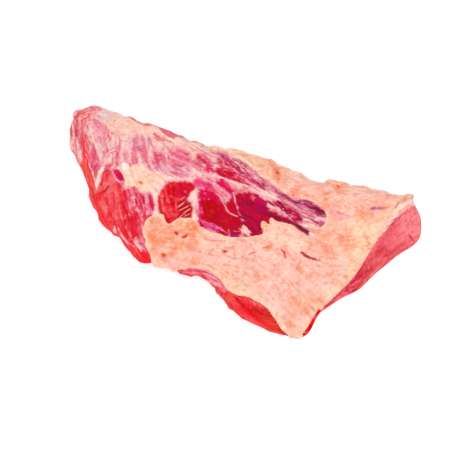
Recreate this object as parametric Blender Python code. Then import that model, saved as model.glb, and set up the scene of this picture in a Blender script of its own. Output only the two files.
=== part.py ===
"""A raw beef tri-tip roast: one muscle with a layer of fat over most of its upper face.

The roast narrows from a slanting cut end at +X to a blunt tip at -X. The near side,
where the cut end thins out to a tongue, is -Y, and +Z is up. It rests on a flat foot
at z = 0, under the middle of its length and width.
"""

import math
from typing import NamedTuple

import bpy

MM = 0.001

# The form. Each station is a cross-section at a distance from the tip.
CUT_SLANT = 0.19  # how far the cut end leans forward for each unit towards the far side
CUT_SLANT_START = 13.0
CUT_LEAN = 0.20  # how far the far corner of the cut leans back for each unit of height
CUT_LEAN_HEIGHT = 13.0
CUT_LEAN_SIDE = (15.0, 84.0)  # from here to here towards the far side the lean comes in
TONGUE_REACH = 12.0  # how far the near corner of the cut stands out
TONGUE_SIDE = (-28.0, -62.0)
CUT_SHEAR_START = 199.0  # distance from the tip where the sections begin to follow the cut
NOSE_LENGTH = 26.0  # the tip rounds off over this length
NOSE_SQUARENESS = 2.4
NOSE_HEIGHT = 20.0  # the middle of the rounded tip is this high
BELLY_SHARE = 0.36  # height of the widest line as a share of the section's shoulders
FOOT_CUT = 1.2  # this much is taken off the round underside, so the roast lies flat

# The fat.
FAT_THICKNESS = 4.0
THIN_SECTION = 12.0  # where the meat is thinner than this, the fat thins with it
GAP = 0.3  # clearance between the muscle and the fat
FAT_FOOT = -7.0  # height of the slope the fat ends on, at the near end of its outline
FAT_FOOT_RISE = 0.25  # how much higher the slope is for each unit to the far side
OVERRUN = 14.0  # how far the cutters stand out past the roast
CUT_OVERRUN = 8.0
PRISM_TOP = 90.0

# The mesh.
RING_POINTS = 44
NOSE_RINGS = 9
BODY_RINGS = 28
NOSE_START = 0.04  # angle of the first ring round the tip


class Station(NamedTuple):
    """A cross-section of the roast, in millimetres."""

    from_tip: float
    near: float  # the near side, across the roast
    far: float
    near_rise: float  # heights of the upper face from the near to the far side
    near_quarter: float
    crown: float
    far_quarter: float
    far_rise: float
    near_square: float  # 2 is round, more is squarer
    far_square: float


STATIONS = (
    Station(0, -4, 26, 26, 37, 42, 40, 33, 2.3, 2.5),
    Station(14, -12, 36, 30, 43, 48, 45, 37, 2.4, 2.6),
    Station(34, -24, 41, 35, 48, 51, 48, 40, 2.5, 2.6),
    Station(59, -41, 43, 39, 51, 54, 50, 43, 2.6, 2.8),
    Station(89, -59, 46, 41, 52, 55, 51, 44, 2.8, 3.0),
    Station(119, -71, 52, 42, 52, 54, 51, 44, 2.8, 3.0),
    Station(149, -80, 62, 38, 49, 53, 51, 45, 2.6, 3.0),
    Station(174, -72, 70, 28, 45, 52, 51, 46, 2.3, 3.0),
    Station(199, -63, 73, 20, 41, 50, 51, 46, 2.2, 3.0),
    Station(224, -66, 69, 17, 37, 47, 51, 45, 2.4, 3.0),
    Station(249, -77, 76, 25, 34, 43, 53, 50, 3.0, 3.0),
    Station(271, -78, 86, 24, 28, 37, 54, 51, 3.4, 3.2),
    Station(289, -71, 87, 10, 15, 30, 56, 54, 3.0, 4.2),
    Station(303, -64, 84, 6, 7, 25, 58, 57, 2.6, 6.0),
)

# The outline of the fat seen from above, in millimetres in the frame of the finished
# roast. It starts at the near side and goes round the bare meat to the far side.
FAT_OUTLINE = (
    (5, -98),
    (2, -80),
    (-7, -78),
    (-11, -70),
    (-9, -61),
    (-5, -57),
    (3, -58),
    (8, -49),
    (15, -44),
    (34, -41),
    (50, -36),
    (61, -32),
    (70, -26),
    (72, -15),
    (80, -5),
    (92, 2),
    (105, 12),
    (103, 20),
    (90, 22),
    (54, 19),
    (40, 20),
    (24, 25),
    (10, 30),
    (-8, 37),
    (-20, 45),
    (-22, 60),
    (-16, 98),
    (172, 98),
    (172, -98),
)

# The lower edge of the fat along the near side: distance along the roast, and height.
NEAR_EDGE = (
    (-30, 16),
    (0, 13),
    (15, 9),
    (45, 10),
    (68, 11),
    (86, 19),
    (99, 22),
    (108, 21),
    (115, 17),
    (123, 10),
    (130, 5),
    (136, 1),
)
NEAR_EDGE_DEPTH = -45.0  # the edge is cut from outside the roast in to here

LEAN_COLOUR = (0.72, 0.045, 0.06, 1.0)
FAT_COLOUR = (0.95, 0.66, 0.46, 1.0)


def smooth(start, end, value):
    """Goes from 0 at start to 1 at end without a corner."""
    share = min(1.0, max(0.0, (value - start) / (end - start)))
    return share * share * (3.0 - 2.0 * share)


def slopes(places, values):
    """The slope of a row of values at each place, weighted by the gaps on both sides."""
    result = []
    last = len(places) - 1
    for i in range(len(places)):
        before, after = max(0, i - 1), min(last, i + 1)
        left = (values[i] - values[before]) / (places[i] - places[before]) if i > 0 else None
        right = (values[after] - values[i]) / (places[after] - places[i]) if i < last else None
        if left is None:
            result.append(right)
        elif right is None:
            result.append(left)
        else:
            gap_left = places[i] - places[before]
            gap_right = places[after] - places[i]
            result.append((left * gap_right + right * gap_left) / (gap_left + gap_right))
    return result


def curve_at(places, values, place):
    """A smooth curve through the values, read at one place."""
    tangents = slopes(places, values)
    i = 0
    while i < len(places) - 2 and place > places[i + 1]:
        i += 1
    span = places[i + 1] - places[i]
    t = (place - places[i]) / span
    return (
        (2 * t**3 - 3 * t**2 + 1) * values[i]
        + (t**3 - 2 * t**2 + t) * span * tangents[i]
        + (3 * t**2 - 2 * t**3) * values[i + 1]
        + (t**3 - t**2) * span * tangents[i + 1]
    )


def station_at(from_tip):
    """The cross-section at any distance from the tip."""
    places = [station.from_tip for station in STATIONS]
    fields = [curve_at(places, [s[k] for s in STATIONS], from_tip) for k in range(1, 10)]
    return Station(from_tip, *fields)


def section_ring(station, inset):
    """The closed outline of a cross-section as (y, z), from the middle of the underside.

    An inset above zero gives the outline under a layer of that thickness: its sides and
    its upper face are drawn in, and its underside goes below the roast.
    """
    near = station.near + inset
    far = station.far - inset
    rises = (
        station.near_rise,
        station.near_quarter,
        station.crown,
        station.far_quarter,
        station.far_rise,
    )
    middle, half = (near + far) / 2.0, (far - near) / 2.0
    ring = []
    for i in range(RING_POINTS):
        angle = 2.0 * math.pi * i / RING_POINTS
        side, up = -math.sin(angle), -math.cos(angle)
        power = 2.0 / (station.near_square if side < 0.0 else station.far_square)
        across = math.copysign(abs(side) ** power, side)
        lift = abs(up) ** power
        top = curve_at((-1.0, -0.5, 0.0, 0.5, 1.0), rises, across)
        shoulders = rises[0] + (rises[4] - rises[0]) * (across + 1.0) / 2.0
        belly = BELLY_SHARE * shoulders
        if up > 0.0:
            thinned = inset * min(1.0, top / THIN_SECTION)
            z = belly + (top - thinned - belly) * lift - FOOT_CUT
        else:
            z = belly * (1.0 - lift) - FOOT_CUT - 2.0 * inset * lift
            z = z if inset else max(0.0, z)
        ring.append((middle + half * across, z))
    return ring


def nose_scale(from_tip):
    """How far the section is drawn together near the tip, from 0 to 1."""
    share = min(1.0, from_tip / NOSE_LENGTH)
    return (1.0 - (1.0 - share) ** NOSE_SQUARENESS) ** (1.0 / NOSE_SQUARENESS)


def place_section(from_tip, ring):
    """The points of a section in the roast: rounded at the tip, slanting at the cut."""
    scale = nose_scale(from_tip)
    middle = sum(y for y, _ in ring) / len(ring)
    end = STATIONS[-1].from_tip
    follow = max(0.0, (from_tip - CUT_SHEAR_START) / (end - CUT_SHEAR_START)) ** 2
    points = []
    for y, z in ring:
        y = middle + (y - middle) * scale
        z = NOSE_HEIGHT + (z - NOSE_HEIGHT) * scale
        shear = CUT_SLANT * (y - CUT_SLANT_START)
        shear += TONGUE_REACH * smooth(*TONGUE_SIDE, y)
        shear += CUT_LEAN * (CUT_LEAN_HEIGHT - z) * smooth(*CUT_LEAN_SIDE, y)
        points.append((from_tip + follow * shear, y, z))
    return points


def roast_rings(inset=0.0):
    """All rings from the tip to the cut end; an inset body also runs out past the cut."""
    start, end = NOSE_LENGTH, STATIONS[-1].from_tip
    places = []
    for i in range(NOSE_RINGS):
        angle = NOSE_START + (math.pi / 2.0 - NOSE_START) * i / NOSE_RINGS
        places.append(NOSE_LENGTH * (1.0 - math.cos(angle)))
    places += [start + (end - start) * i / (BODY_RINGS - 1) for i in range(BODY_RINGS)]
    rings = [place_section(x, section_ring(station_at(x), inset)) for x in places]
    if inset:
        rings.append([(x + CUT_OVERRUN, y, z) for x, y, z in rings[-1]])
    return rings


def mesh_object(name, points, faces, collection):
    """A named object from points in millimetres."""
    mesh = bpy.data.meshes.new(name)
    mesh.from_pydata([tuple(MM * c for c in point) for point in points], [], faces)
    mesh.validate()
    made = bpy.data.objects.new(name, mesh)
    collection.objects.link(made)
    return made


def loft(name, rings, centre, collection):
    """A closed body through rings of unlike section, with a ladder of faces at the cut."""
    count = len(rings[0])
    points = [(x - centre[0], y - centre[1], z) for ring in rings for x, y, z in ring]
    tip = [sum(axis) / count for axis in zip(*rings[0])]
    points.append((tip[0] - centre[0], tip[1] - centre[1], tip[2]))
    faces = []
    for i in range(len(rings) - 1):
        for j in range(count):
            k = (j + 1) % count
            a, b = i * count, (i + 1) * count
            faces += [(a + j, b + j, b + k), (a + j, b + k, a + k)]
    for j in range(count):
        faces.append((len(points) - 1, j, (j + 1) % count))
    last = (len(rings) - 1) * count
    for step in range(count // 2):
        low, low_next = (step - count // 4) % count, (step + 1 - count // 4) % count
        high, high_next = (count // 2 - low) % count, (count // 2 - low_next) % count
        corners = (last + low, last + high, last + high_next, last + low_next)
        faces.append(tuple(dict.fromkeys(corners)))
    return mesh_object(name, points, faces, collection)


def grown(outline, amount):
    """The outline moved outwards by an amount; it runs clockwise seen from above."""
    count = len(outline)
    result = []
    for i in range(count):
        before, here, after = outline[i - 1], outline[i], outline[(i + 1) % count]
        normals = []
        for start, end in ((before, here), (here, after)):
            length = math.dist(start, end)
            normals.append(((start[1] - end[1]) / length, (end[0] - start[0]) / length))
        sum_x, sum_y = normals[0][0] + normals[1][0], normals[0][1] + normals[1][1]
        reach = 2.0 * amount / (sum_x**2 + sum_y**2)
        result.append((here[0] + sum_x * reach, here[1] + sum_y * reach))
    return result


def extruded(name, first, second, collection):
    """A body between two like outlines; the second is clockwise seen from outside."""
    count = len(first)
    faces = [tuple(range(count)), tuple(range(2 * count - 1, count - 1, -1))]
    faces += [(i, i + count, (i + 1) % count + count, (i + 1) % count) for i in range(count)]
    return mesh_object(name, list(first) + list(second), faces, collection)


def fat_prism(name, spare, collection):
    """The outline of the fat as a body that stands on a slope over the table."""
    outline = grown(FAT_OUTLINE, spare)
    start = min(y for _, y in FAT_OUTLINE)
    low = [(x, y, FAT_FOOT - spare + FAT_FOOT_RISE * (y - start)) for x, y in outline]
    return extruded(name, low, [(x, y, PRISM_TOP) for x, y in outline], collection)


def skirt(name, spare, collection):
    """The body under the lower edge of the fat along the near side."""
    outside = min(y for _, y in FAT_OUTLINE) - OVERRUN
    profile = [(x, z - spare) for x, z in NEAR_EDGE]
    profile += [(NEAR_EDGE[-1][0], -OVERRUN), (NEAR_EDGE[0][0], -OVERRUN)]
    first = [(x, NEAR_EDGE_DEPTH, z) for x, z in profile]
    return extruded(name, first, [(x, outside, z) for x, z in profile], collection)


def boolean(target, tool, operation):
    """Adds a Boolean modifier and turns the tool into a wire that isn't rendered."""
    modifier = target.modifiers.new(tool.name, "BOOLEAN")
    modifier.object = tool
    modifier.operation = operation
    modifier.solver = "EXACT"
    tool.hide_render = True
    tool.display_type = "WIRE"


def material(name, colour, roughness):
    """A plain Principled material."""
    made = bpy.data.materials.new(name)
    made.use_nodes = True
    shader = made.node_tree.nodes["Principled BSDF"]
    shader.inputs["Base Color"].default_value = colour
    shader.inputs["Roughness"].default_value = roughness
    shader.inputs["Metallic"].default_value = 0.0
    made.diffuse_color = colour
    return made


def fat_region(name, spare, centre, collection):
    """The room the fat takes: the prism of its outline less all that lies under it."""
    region = fat_prism(name, spare, collection)
    under = loft(name + "_under", roast_rings(FAT_THICKNESS + spare), centre, collection)
    boolean(region, under, "DIFFERENCE")
    boolean(region, skirt(name + "_skirt", spare, collection), "DIFFERENCE")
    return region


def main():
    """Builds the muscle and the fat that lies over it."""
    for old in list(bpy.data.objects):
        bpy.data.objects.remove(old, do_unlink=True)

    roast = bpy.data.collections.new("beef_tri_tip")
    cutters = bpy.data.collections.new("cutters")
    for collection in (roast, cutters):
        bpy.context.scene.collection.children.link(collection)

    rings = roast_rings()
    along = [x for ring in rings for x, _, _ in ring]
    across = [y for ring in rings for _, y, _ in ring]
    centre = ((min(along) + max(along)) / 2.0, (min(across) + max(across)) / 2.0)

    fat = loft("fat_cap", rings, centre, roast)
    boolean(fat, fat_region("fat_room", 0.0, centre, cutters), "INTERSECT")
    fat.data.materials.append(material("fat", FAT_COLOUR, 0.45))

    lean = loft("lean", rings, centre, roast)
    boolean(lean, fat_region("lean_recess", GAP, centre, cutters), "DIFFERENCE")
    lean.data.materials.append(material("lean_meat", LEAN_COLOUR, 0.35))


main()
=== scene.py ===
"""Visual model of a raw beef tri-tip roast: a lean muscle and the fat cap grown over it.

The form is the one of the solids: cross-sections lofted from a blunt tip to a slanting cut.
Both pieces are dense meshes of that form. Marks and tissue borders are placed by pixels of
the photograph, seen through the camera, and are kept on the mesh as colours and masks.
"""

import logging
import math
from collections.abc import Callable
from dataclasses import dataclass
from enum import Enum

import bpy
import numpy as np
from mathutils import Matrix, Vector, geometry

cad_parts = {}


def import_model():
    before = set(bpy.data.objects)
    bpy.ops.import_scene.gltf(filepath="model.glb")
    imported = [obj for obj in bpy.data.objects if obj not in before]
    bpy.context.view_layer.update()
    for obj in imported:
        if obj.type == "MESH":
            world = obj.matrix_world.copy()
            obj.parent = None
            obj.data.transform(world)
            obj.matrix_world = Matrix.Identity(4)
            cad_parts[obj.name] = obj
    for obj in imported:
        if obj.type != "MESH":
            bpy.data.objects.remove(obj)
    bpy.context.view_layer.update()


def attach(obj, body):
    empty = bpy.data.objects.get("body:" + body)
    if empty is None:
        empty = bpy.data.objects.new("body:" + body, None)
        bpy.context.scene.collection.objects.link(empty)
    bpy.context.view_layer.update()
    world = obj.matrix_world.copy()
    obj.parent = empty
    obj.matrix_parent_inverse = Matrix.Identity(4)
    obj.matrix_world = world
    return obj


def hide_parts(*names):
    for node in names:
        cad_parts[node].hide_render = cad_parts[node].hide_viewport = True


LOG = logging.getLogger("tri_tip")
MM = 0.001
FRAME_PIXELS = 453.0
KEY_STEP = 8
FINE_TURNS = 721
Array = np.ndarray
Socket = bpy.types.NodeSocket
Density = Callable[[Array, Array], Array]


# ---------- numbers


def smooth(start: float, end: float, value: Array) -> Array:
    """Goes from 0 at start to 1 at end without a corner."""
    share = np.clip((value - start) / (end - start), 0.0, 1.0)
    return share * share * (3.0 - 2.0 * share)


def mix(low: Array, high: Array, share: Array) -> Array:
    """Blends two values by a share."""
    return low + (high - low) * share


def to_linear(colour: Array) -> Array:
    """Turns display colours from 0 to 1 into scene-linear ones."""
    colour = np.clip(colour, 0.0, 1.0)
    return np.where(colour <= 0.04045, colour / 12.92, ((colour + 0.055) / 1.055) ** 2.4)


def between(t: Array, low: Array, high: Array, low_slope: Array, high_slope: Array) -> Array:
    """Goes from low to high with the given slopes at both ends, at shares t of the way."""
    ends = (2 * t**3 - 3 * t**2 + 1) * low + (3 * t**2 - 2 * t**3) * high
    return ends + (t**3 - 2 * t**2 + t) * low_slope + (t**3 - t**2) * high_slope


def curve_at(places: Array, values: Array, at: Array) -> Array:
    """Reads a smooth curve through values at their places.

    Args:
        places: Where the values stand, rising, of shape (k,).
        values: The values, of shape (k, ...).
        at: Where to read the curve, of shape (n,).

    Returns:
        The values there, of shape (n, ...).
    """
    slopes = np.gradient(values, places, axis=0)
    i = np.clip(np.searchsorted(places, at) - 1, 0, len(places) - 2)
    span = places[i + 1] - places[i]
    t = (at - places[i]) / span
    shape = (-1,) + (1,) * (values.ndim - 1)
    t, span = t.reshape(shape), span.reshape(shape)
    return between(t, values[i], values[i + 1], span * slopes[i], span * slopes[i + 1])


def lattice_noise(points: Array, seed: int) -> Array:
    """Smooth noise from 0 to 1 on a lattice of unit cells.

    Args:
        points: Positions in cells, of shape (..., 3).
        seed: Which noise it is.

    Returns:
        One value for each position.
    """
    cell = np.floor(points).astype(np.int64)
    t = points - cell
    t = t * t * (3.0 - 2.0 * t)
    total = np.zeros(points.shape[:-1])
    for corner in range(8):
        step = np.array([corner & 1, corner >> 1 & 1, corner >> 2 & 1])
        at = cell + step
        key = at[..., 0] * 73856093 ^ at[..., 1] * 19349663 ^ at[..., 2] * 83492791
        key = (key ^ seed * 2654435761) & 0xFFFFFFFF
        key = (key ^ key >> 15) * 2246822519 & 0xFFFFFFFF
        key = (key ^ key >> 13) * 3266489917 & 0xFFFFFFFF
        value = (key ^ key >> 16 & 0xFFFFFFFF) % 65536 / 65535.0
        weight = np.prod(np.where(step == 1, t, 1.0 - t), axis=-1)
        total += value * weight
    return total


def layered_noise(points: Array, size: float, seed: int, layers: int = 3) -> Array:
    """Noise from -1 to 1 with finer layers on a coarse one.

    Args:
        points: Positions, of shape (..., 3).
        size: Size of the coarsest lumps, in the same unit.
        seed: Which noise it is.
        layers: How many layers, each half the size of the one before.

    Returns:
        One value for each position.
    """
    total, weight, reach = 0.0, 1.0, 0.0
    for k in range(layers):
        total = total + weight * (2.0 * lattice_noise(points / size * 2**k, seed + k) - 1.0)
        reach += weight
        weight *= 0.5
    return total / reach * 1.4


def pixels_of(line: tuple[float, ...]) -> Array:
    """Turns a row of pixels, across and down in turn, into points of shape (k, 2)."""
    return np.array(line, float).reshape(-1, 2)


# ---------- the view


@dataclass(frozen=True)
class Viewpoint:
    """The camera that sees the roast as the photograph does, in millimetres and degrees."""

    azimuth: float = 37.0
    elevation: float = 42.0
    aim: tuple[float, float, float] = (32.07, -17.65, 20.0)
    distance: float = 900.0
    lens: float = 88.0
    sensor: float = 36.0

    @property
    def back(self) -> Array:
        """The direction from the roast to the camera."""
        a, e = math.radians(self.azimuth), math.radians(self.elevation)
        return np.array([math.sin(a) * math.cos(e), -math.cos(a) * math.cos(e), math.sin(e)])

    def project(self, points: Array) -> Array:
        """Gives the pixel of each point.

        Args:
            points: Positions in millimetres, of shape (..., 3).

        Returns:
            Pixels across and down, of shape (..., 2).
        """
        right = np.cross(-self.back, [0.0, 0.0, 1.0])
        right /= np.linalg.norm(right)
        up = np.cross(right, -self.back)
        seen = points - (np.array(self.aim) + self.back * self.distance)
        depth = -(seen @ self.back)
        scale = self.lens / self.sensor * FRAME_PIXELS
        half = FRAME_PIXELS / 2.0
        return np.stack(
            [half + scale * (seen @ right) / depth, half - scale * (seen @ up) / depth], -1
        )

    def add_camera(self) -> None:
        """Puts the camera in the scene."""
        data = bpy.data.cameras.new("camera")
        data.lens, data.sensor_width = self.lens, self.sensor
        camera = bpy.data.objects.new("camera", data)
        bpy.context.scene.collection.objects.link(camera)
        back = Vector(self.back)
        place = Vector(self.aim) * MM + back * self.distance * MM
        turn = back.to_track_quat("Z", "Y").to_matrix().to_4x4()
        camera.matrix_world = Matrix.Translation(place) @ turn
        bpy.context.scene.camera = camera


# ---------- the form


@dataclass(frozen=True)
class RoastForm:
    """The form of the whole roast as cross-sections at distances from the tip.

    Each station holds: distance from the tip, near side, far side, heights of the upper
    face at five shares from the near to the far side, near squareness, far squareness.
    """

    stations: tuple[tuple[float, ...], ...] = (
        (0, -4, 26, 26, 37, 42, 40, 33, 2.3, 2.5),
        (14, -12, 36, 30, 43, 48, 45, 37, 2.4, 2.6),
        (34, -24, 41, 35, 48, 51, 48, 40, 2.5, 2.6),
        (59, -41, 43, 39, 51, 54, 50, 43, 2.6, 2.8),
        (89, -59, 46, 41, 52, 55, 51, 44, 2.8, 3.0),
        (119, -71, 52, 42, 52, 54, 51, 44, 2.8, 3.0),
        (149, -80, 62, 38, 49, 53, 51, 45, 2.6, 3.0),
        (174, -72, 70, 28, 45, 52, 51, 46, 2.3, 3.0),
        (199, -63, 73, 20, 41, 50, 51, 46, 2.2, 3.0),
        (224, -66, 69, 17, 37, 47, 51, 45, 2.4, 3.0),
        (249, -77, 76, 25, 34, 43, 53, 50, 3.0, 3.0),
        (271, -78, 86, 24, 28, 37, 54, 51, 3.4, 3.2),
        (289, -71, 87, 10, 15, 30, 56, 54, 3.0, 4.2),
        (303, -64, 84, 6, 7, 25, 58, 57, 2.6, 6.0),
    )
    cut_slant: float = 0.19
    cut_slant_start: float = 13.0
    cut_lean: float = 0.20
    cut_lean_height: float = 13.0
    cut_lean_side: tuple[float, float] = (15.0, 84.0)
    tongue_reach: float = 12.0
    tongue_side: tuple[float, float] = (-28.0, -62.0)
    shear_start: float = 199.0
    nose_length: float = 26.0
    nose_squareness: float = 2.4
    nose_height: float = 20.0
    belly_share: float = 0.36
    foot_cut: float = 1.2
    centre: tuple[float, float] = (158.93, 3.65)
    cut_swells: tuple[tuple[float, ...], ...] = (
        (64, 0, 20, 16, -3.6),
        (8, 0, 16, 16, 4.0),
        (-24, 4, 14, 12, 1.0),
        (84, 40, 14, 9, -5.0),
        (80, 53, 18, 8, 1.2),
        (84, 20, 10, 12, 1.2),
        (-68, 10, 14, 22, -2.6),
        (30, 24, 12, 9, -1.2),
        (50, 30, 12, 9, 1.0),
    )
    cut_blend: float = 24.0

    @property
    def length(self) -> float:
        """Distance from the tip to the last station."""
        return self.stations[-1][0]

    def cut_shear(self, across: Array, height: Array) -> Array:
        """How far the cut end stands out along the roast at a place on it.

        Args:
            across: Widths over the last station.
            height: Heights there.

        Returns:
            Distances along the roast, from the last station.
        """
        slant = self.cut_slant * (across - self.cut_slant_start)
        lean = self.cut_lean * (self.cut_lean_height - height)
        tongue = self.tongue_reach * smooth(*self.tongue_side, across)
        return slant + tongue + lean * smooth(*self.cut_lean_side, across)

    def cut_bulge(self, across: Array, height: Array) -> Array:
        """How far the cut stands out of its plane: each swell has a place, reaches and a rise.

        Args:
            across: Widths over the last station.
            height: Heights there.

        Returns:
            Distances along the roast, from the slanting plane.
        """
        total = 0.0
        for y, z, wide, tall, rise in self.cut_swells:
            far = ((across - y) / wide) ** 2
            total = total + rise * np.exp(-far - ((height - z) / tall) ** 2)
        return total

    def cut_place(self, y: Array, z: Array) -> Array:
        """The place along the shared frame of the cut at a width and a height in the frame.

        Args:
            y: Widths in the shared frame.
            z: Heights in it.

        Returns:
            Places along the shared frame.
        """
        across = y + self.centre[1]
        stand = self.cut_shear(across, z) + self.cut_bulge(across, z)
        return self.length + stand - self.centre[0]

    def sections(self, from_tip: Array, angle: Array) -> Array:
        """Points of cross-sections.

        Args:
            from_tip: Distances from the tip, of shape (n,).
            angle: Turns round each section from the middle of the underside over the near
                side, of shape (n, m).

        Returns:
            Positions in millimetres in the shared frame, of shape (n, m, 3).
        """
        table = np.array(self.stations)
        row = curve_at(table[:, 0], table[:, 1:], from_tip)
        near, far, rises = row[:, 0:1], row[:, 1:2], row[:, 2:7]
        side, up = -np.sin(angle), -np.cos(angle)
        power = 2.0 / np.where(side < 0.0, row[:, 7:8], row[:, 8:9])
        across = np.sign(side) * np.abs(side) ** power
        lift = np.abs(up) ** power
        shares = np.linspace(-1.0, 1.0, 5)
        slopes = np.gradient(rises, shares, axis=1)
        k = np.clip(np.floor((across + 1.0) * 2.0).astype(int), 0, 3)
        t = (across - shares[k]) * 2.0
        low, high = (np.take_along_axis(rises, k + step, 1) for step in (0, 1))
        slope = (np.take_along_axis(slopes, k + step, 1) / 2.0 for step in (0, 1))
        top = between(t, low, high, *slope)
        shoulders = rises[:, 0:1] + (rises[:, 4:5] - rises[:, 0:1]) * (across + 1.0) / 2.0
        belly = self.belly_share * shoulders
        height = np.where(up > 0.0, belly + (top - belly) * lift, belly * (1.0 - lift))
        height = np.maximum(height - self.foot_cut, 0.0)
        y = (near + far) / 2.0 + (far - near) / 2.0 * across
        share = np.clip(from_tip / self.nose_length, 0.0, 1.0)[:, None]
        scale = (1.0 - (1.0 - share) ** self.nose_squareness) ** (1.0 / self.nose_squareness)
        middle = (near + far) / 2.0
        y = middle + (y - middle) * scale
        height = self.nose_height + (height - self.nose_height) * scale
        follow = np.clip((from_tip - self.shear_start) / (self.length - self.shear_start), 0, 1)
        x = from_tip[:, None] + follow[:, None] ** 2 * self.cut_shear(y, height)
        near_cut = smooth(self.length - self.cut_blend, self.length, from_tip)[:, None]
        x = x + near_cut * self.cut_bulge(y, height)
        return np.stack([x - self.centre[0], y - self.centre[1], height], -1)

    def angles(
        self, from_tip: Array, count: int, span: tuple[float, float], density: Density
    ) -> Array:
        """Turns that space points round each section, closer where the density is high.

        Args:
            from_tip: Distances from the tip.
            count: Points on each ring.
            span: First and last turn, in half turns; 0 to 2 is a whole ring.
            density: Gives the density of a grid of points and their normals.

        Returns:
            Turns of shape (n, count).
        """
        keys = np.unique(np.append(np.arange(0, len(from_tip), KEY_STEP), len(from_tip) - 1))
        fine = np.linspace(span[0] * math.pi, span[1] * math.pi, FINE_TURNS)
        grid = np.broadcast_to(fine, (len(keys), len(fine)))
        points = self.sections(from_tip[keys], grid)
        weight = density(points, self.normals(points, False))
        steps = np.linalg.norm(np.diff(points, axis=1), axis=-1) + 1e-6
        steps *= (weight[:, 1:] + weight[:, :-1]) / 2.0
        gaps = count if span[1] - span[0] >= 2.0 else count - 1
        table = np.empty((len(keys), count))
        for i, row in enumerate(steps):
            run = np.concatenate([[0.0], np.cumsum(row)])
            table[i] = np.interp(np.arange(count) / gaps * run[-1], run, fine)
        return np.stack([np.interp(from_tip, from_tip[keys], c) for c in table.T], -1)

    def normals(self, points: Array, closed: bool) -> Array:
        """Outward normals of a grid of rings or of open strips.

        Args:
            points: The grid, of shape (n, m, 3).
            closed: Whether each row returns to its start.

        Returns:
            Unit normals of the same shape.
        """
        turn = np.gradient(points, axis=1)
        if closed:
            turn = np.roll(points, -1, axis=1) - np.roll(points, 1, axis=1)
        normal = np.cross(np.gradient(points, axis=0), turn)
        return normal / (np.linalg.norm(normal, axis=-1, keepdims=True) + 1e-12)


@dataclass(frozen=True)
class Swell:
    """A rise or a hollow of the form along a line of pixels of the photograph.

    The rise is in millimetres, the reach to each side of the line in pixels. Here, in every
    patch and in every strand, a line is a row of pixels: across, down, across, down.
    """

    rise: float
    reach: float
    line: tuple[float, ...]

    def height(self, pixels: Array) -> Array:
        """How far it moves the surface at pixels of shape (n, 2)."""
        gap, _ = line_distance(pixels_of(self.line), pixels, False)
        return self.rise * smooth(self.reach, 0.0, gap)


@dataclass
class Skin:
    """A grid of rings over the roast with what the painter has to know about each point."""

    form: RoastForm
    view: Viewpoint
    swells: tuple[Swell, ...]
    from_tip: Array
    count: int
    span: tuple[float, float]
    density: Density
    behind: float = 26.0
    foot: tuple[float, float] = (0.2, 5.0)
    grazing: float = 0.02

    def __post_init__(self) -> None:
        """Works out the places, swells them and looks at them through the camera."""
        angle = self.form.angles(self.from_tip, self.count, self.span, self.density)
        self.points = self.form.sections(self.from_tip, angle)
        self.look()
        flat = self.pixels.reshape(-1, 2)
        rise = sum(swell.height(flat) for swell in self.swells).reshape(self.hidden.shape)
        rise = rise * smooth(self.behind, 0.0, self.hidden)
        rise = rise * smooth(*self.foot, self.points[..., 2])
        self.points = self.points + self.normal * rise[..., None]
        self.look()

    def canvas(self, fibres: "FibreField") -> "Canvas":
        """An empty canvas of all points of the skin."""
        flat = self.points.reshape(-1, 3), self.pixels.reshape(-1, 2), self.hidden.ravel()
        return Canvas(*flat, fibres)

    def moved(self, offset: Array, lowest: float) -> Array:
        """Moves the skin out by an offset; the last ring stays in the face of the cut.

        Args:
            offset: How far out each point goes.
            lowest: No point ends below this.

        Returns:
            The moved points, of shape (n, m, 3).
        """
        points = self.points + self.normal * offset[..., None]
        points[-1, :, 0] = self.form.cut_place(points[-1, :, 1], points[-1, :, 2])
        points[..., 2] = np.maximum(points[..., 2], lowest)
        return points

    def look(self) -> None:
        """Works out normals, pixels and how far each point lies out of sight."""
        self.normal = self.form.normals(self.points, self.span[1] - self.span[0] >= 2.0)
        facing = self.normal @ self.view.back > self.grazing
        pixels = self.view.project(self.points)
        self.pixels = pixels.copy()
        self.hidden = np.zeros(facing.shape)
        index = np.arange(self.count)
        for i, row in enumerate(facing):
            seen = np.flatnonzero(row)
            if len(seen) < 3:
                continue
            nearest = np.clip(index, seen[0], seen[-1])
            self.pixels[i] = pixels[i, nearest]
            self.hidden[i] = np.linalg.norm(self.points[i] - self.points[i, nearest], axis=-1)


# ---------- painting


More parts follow.
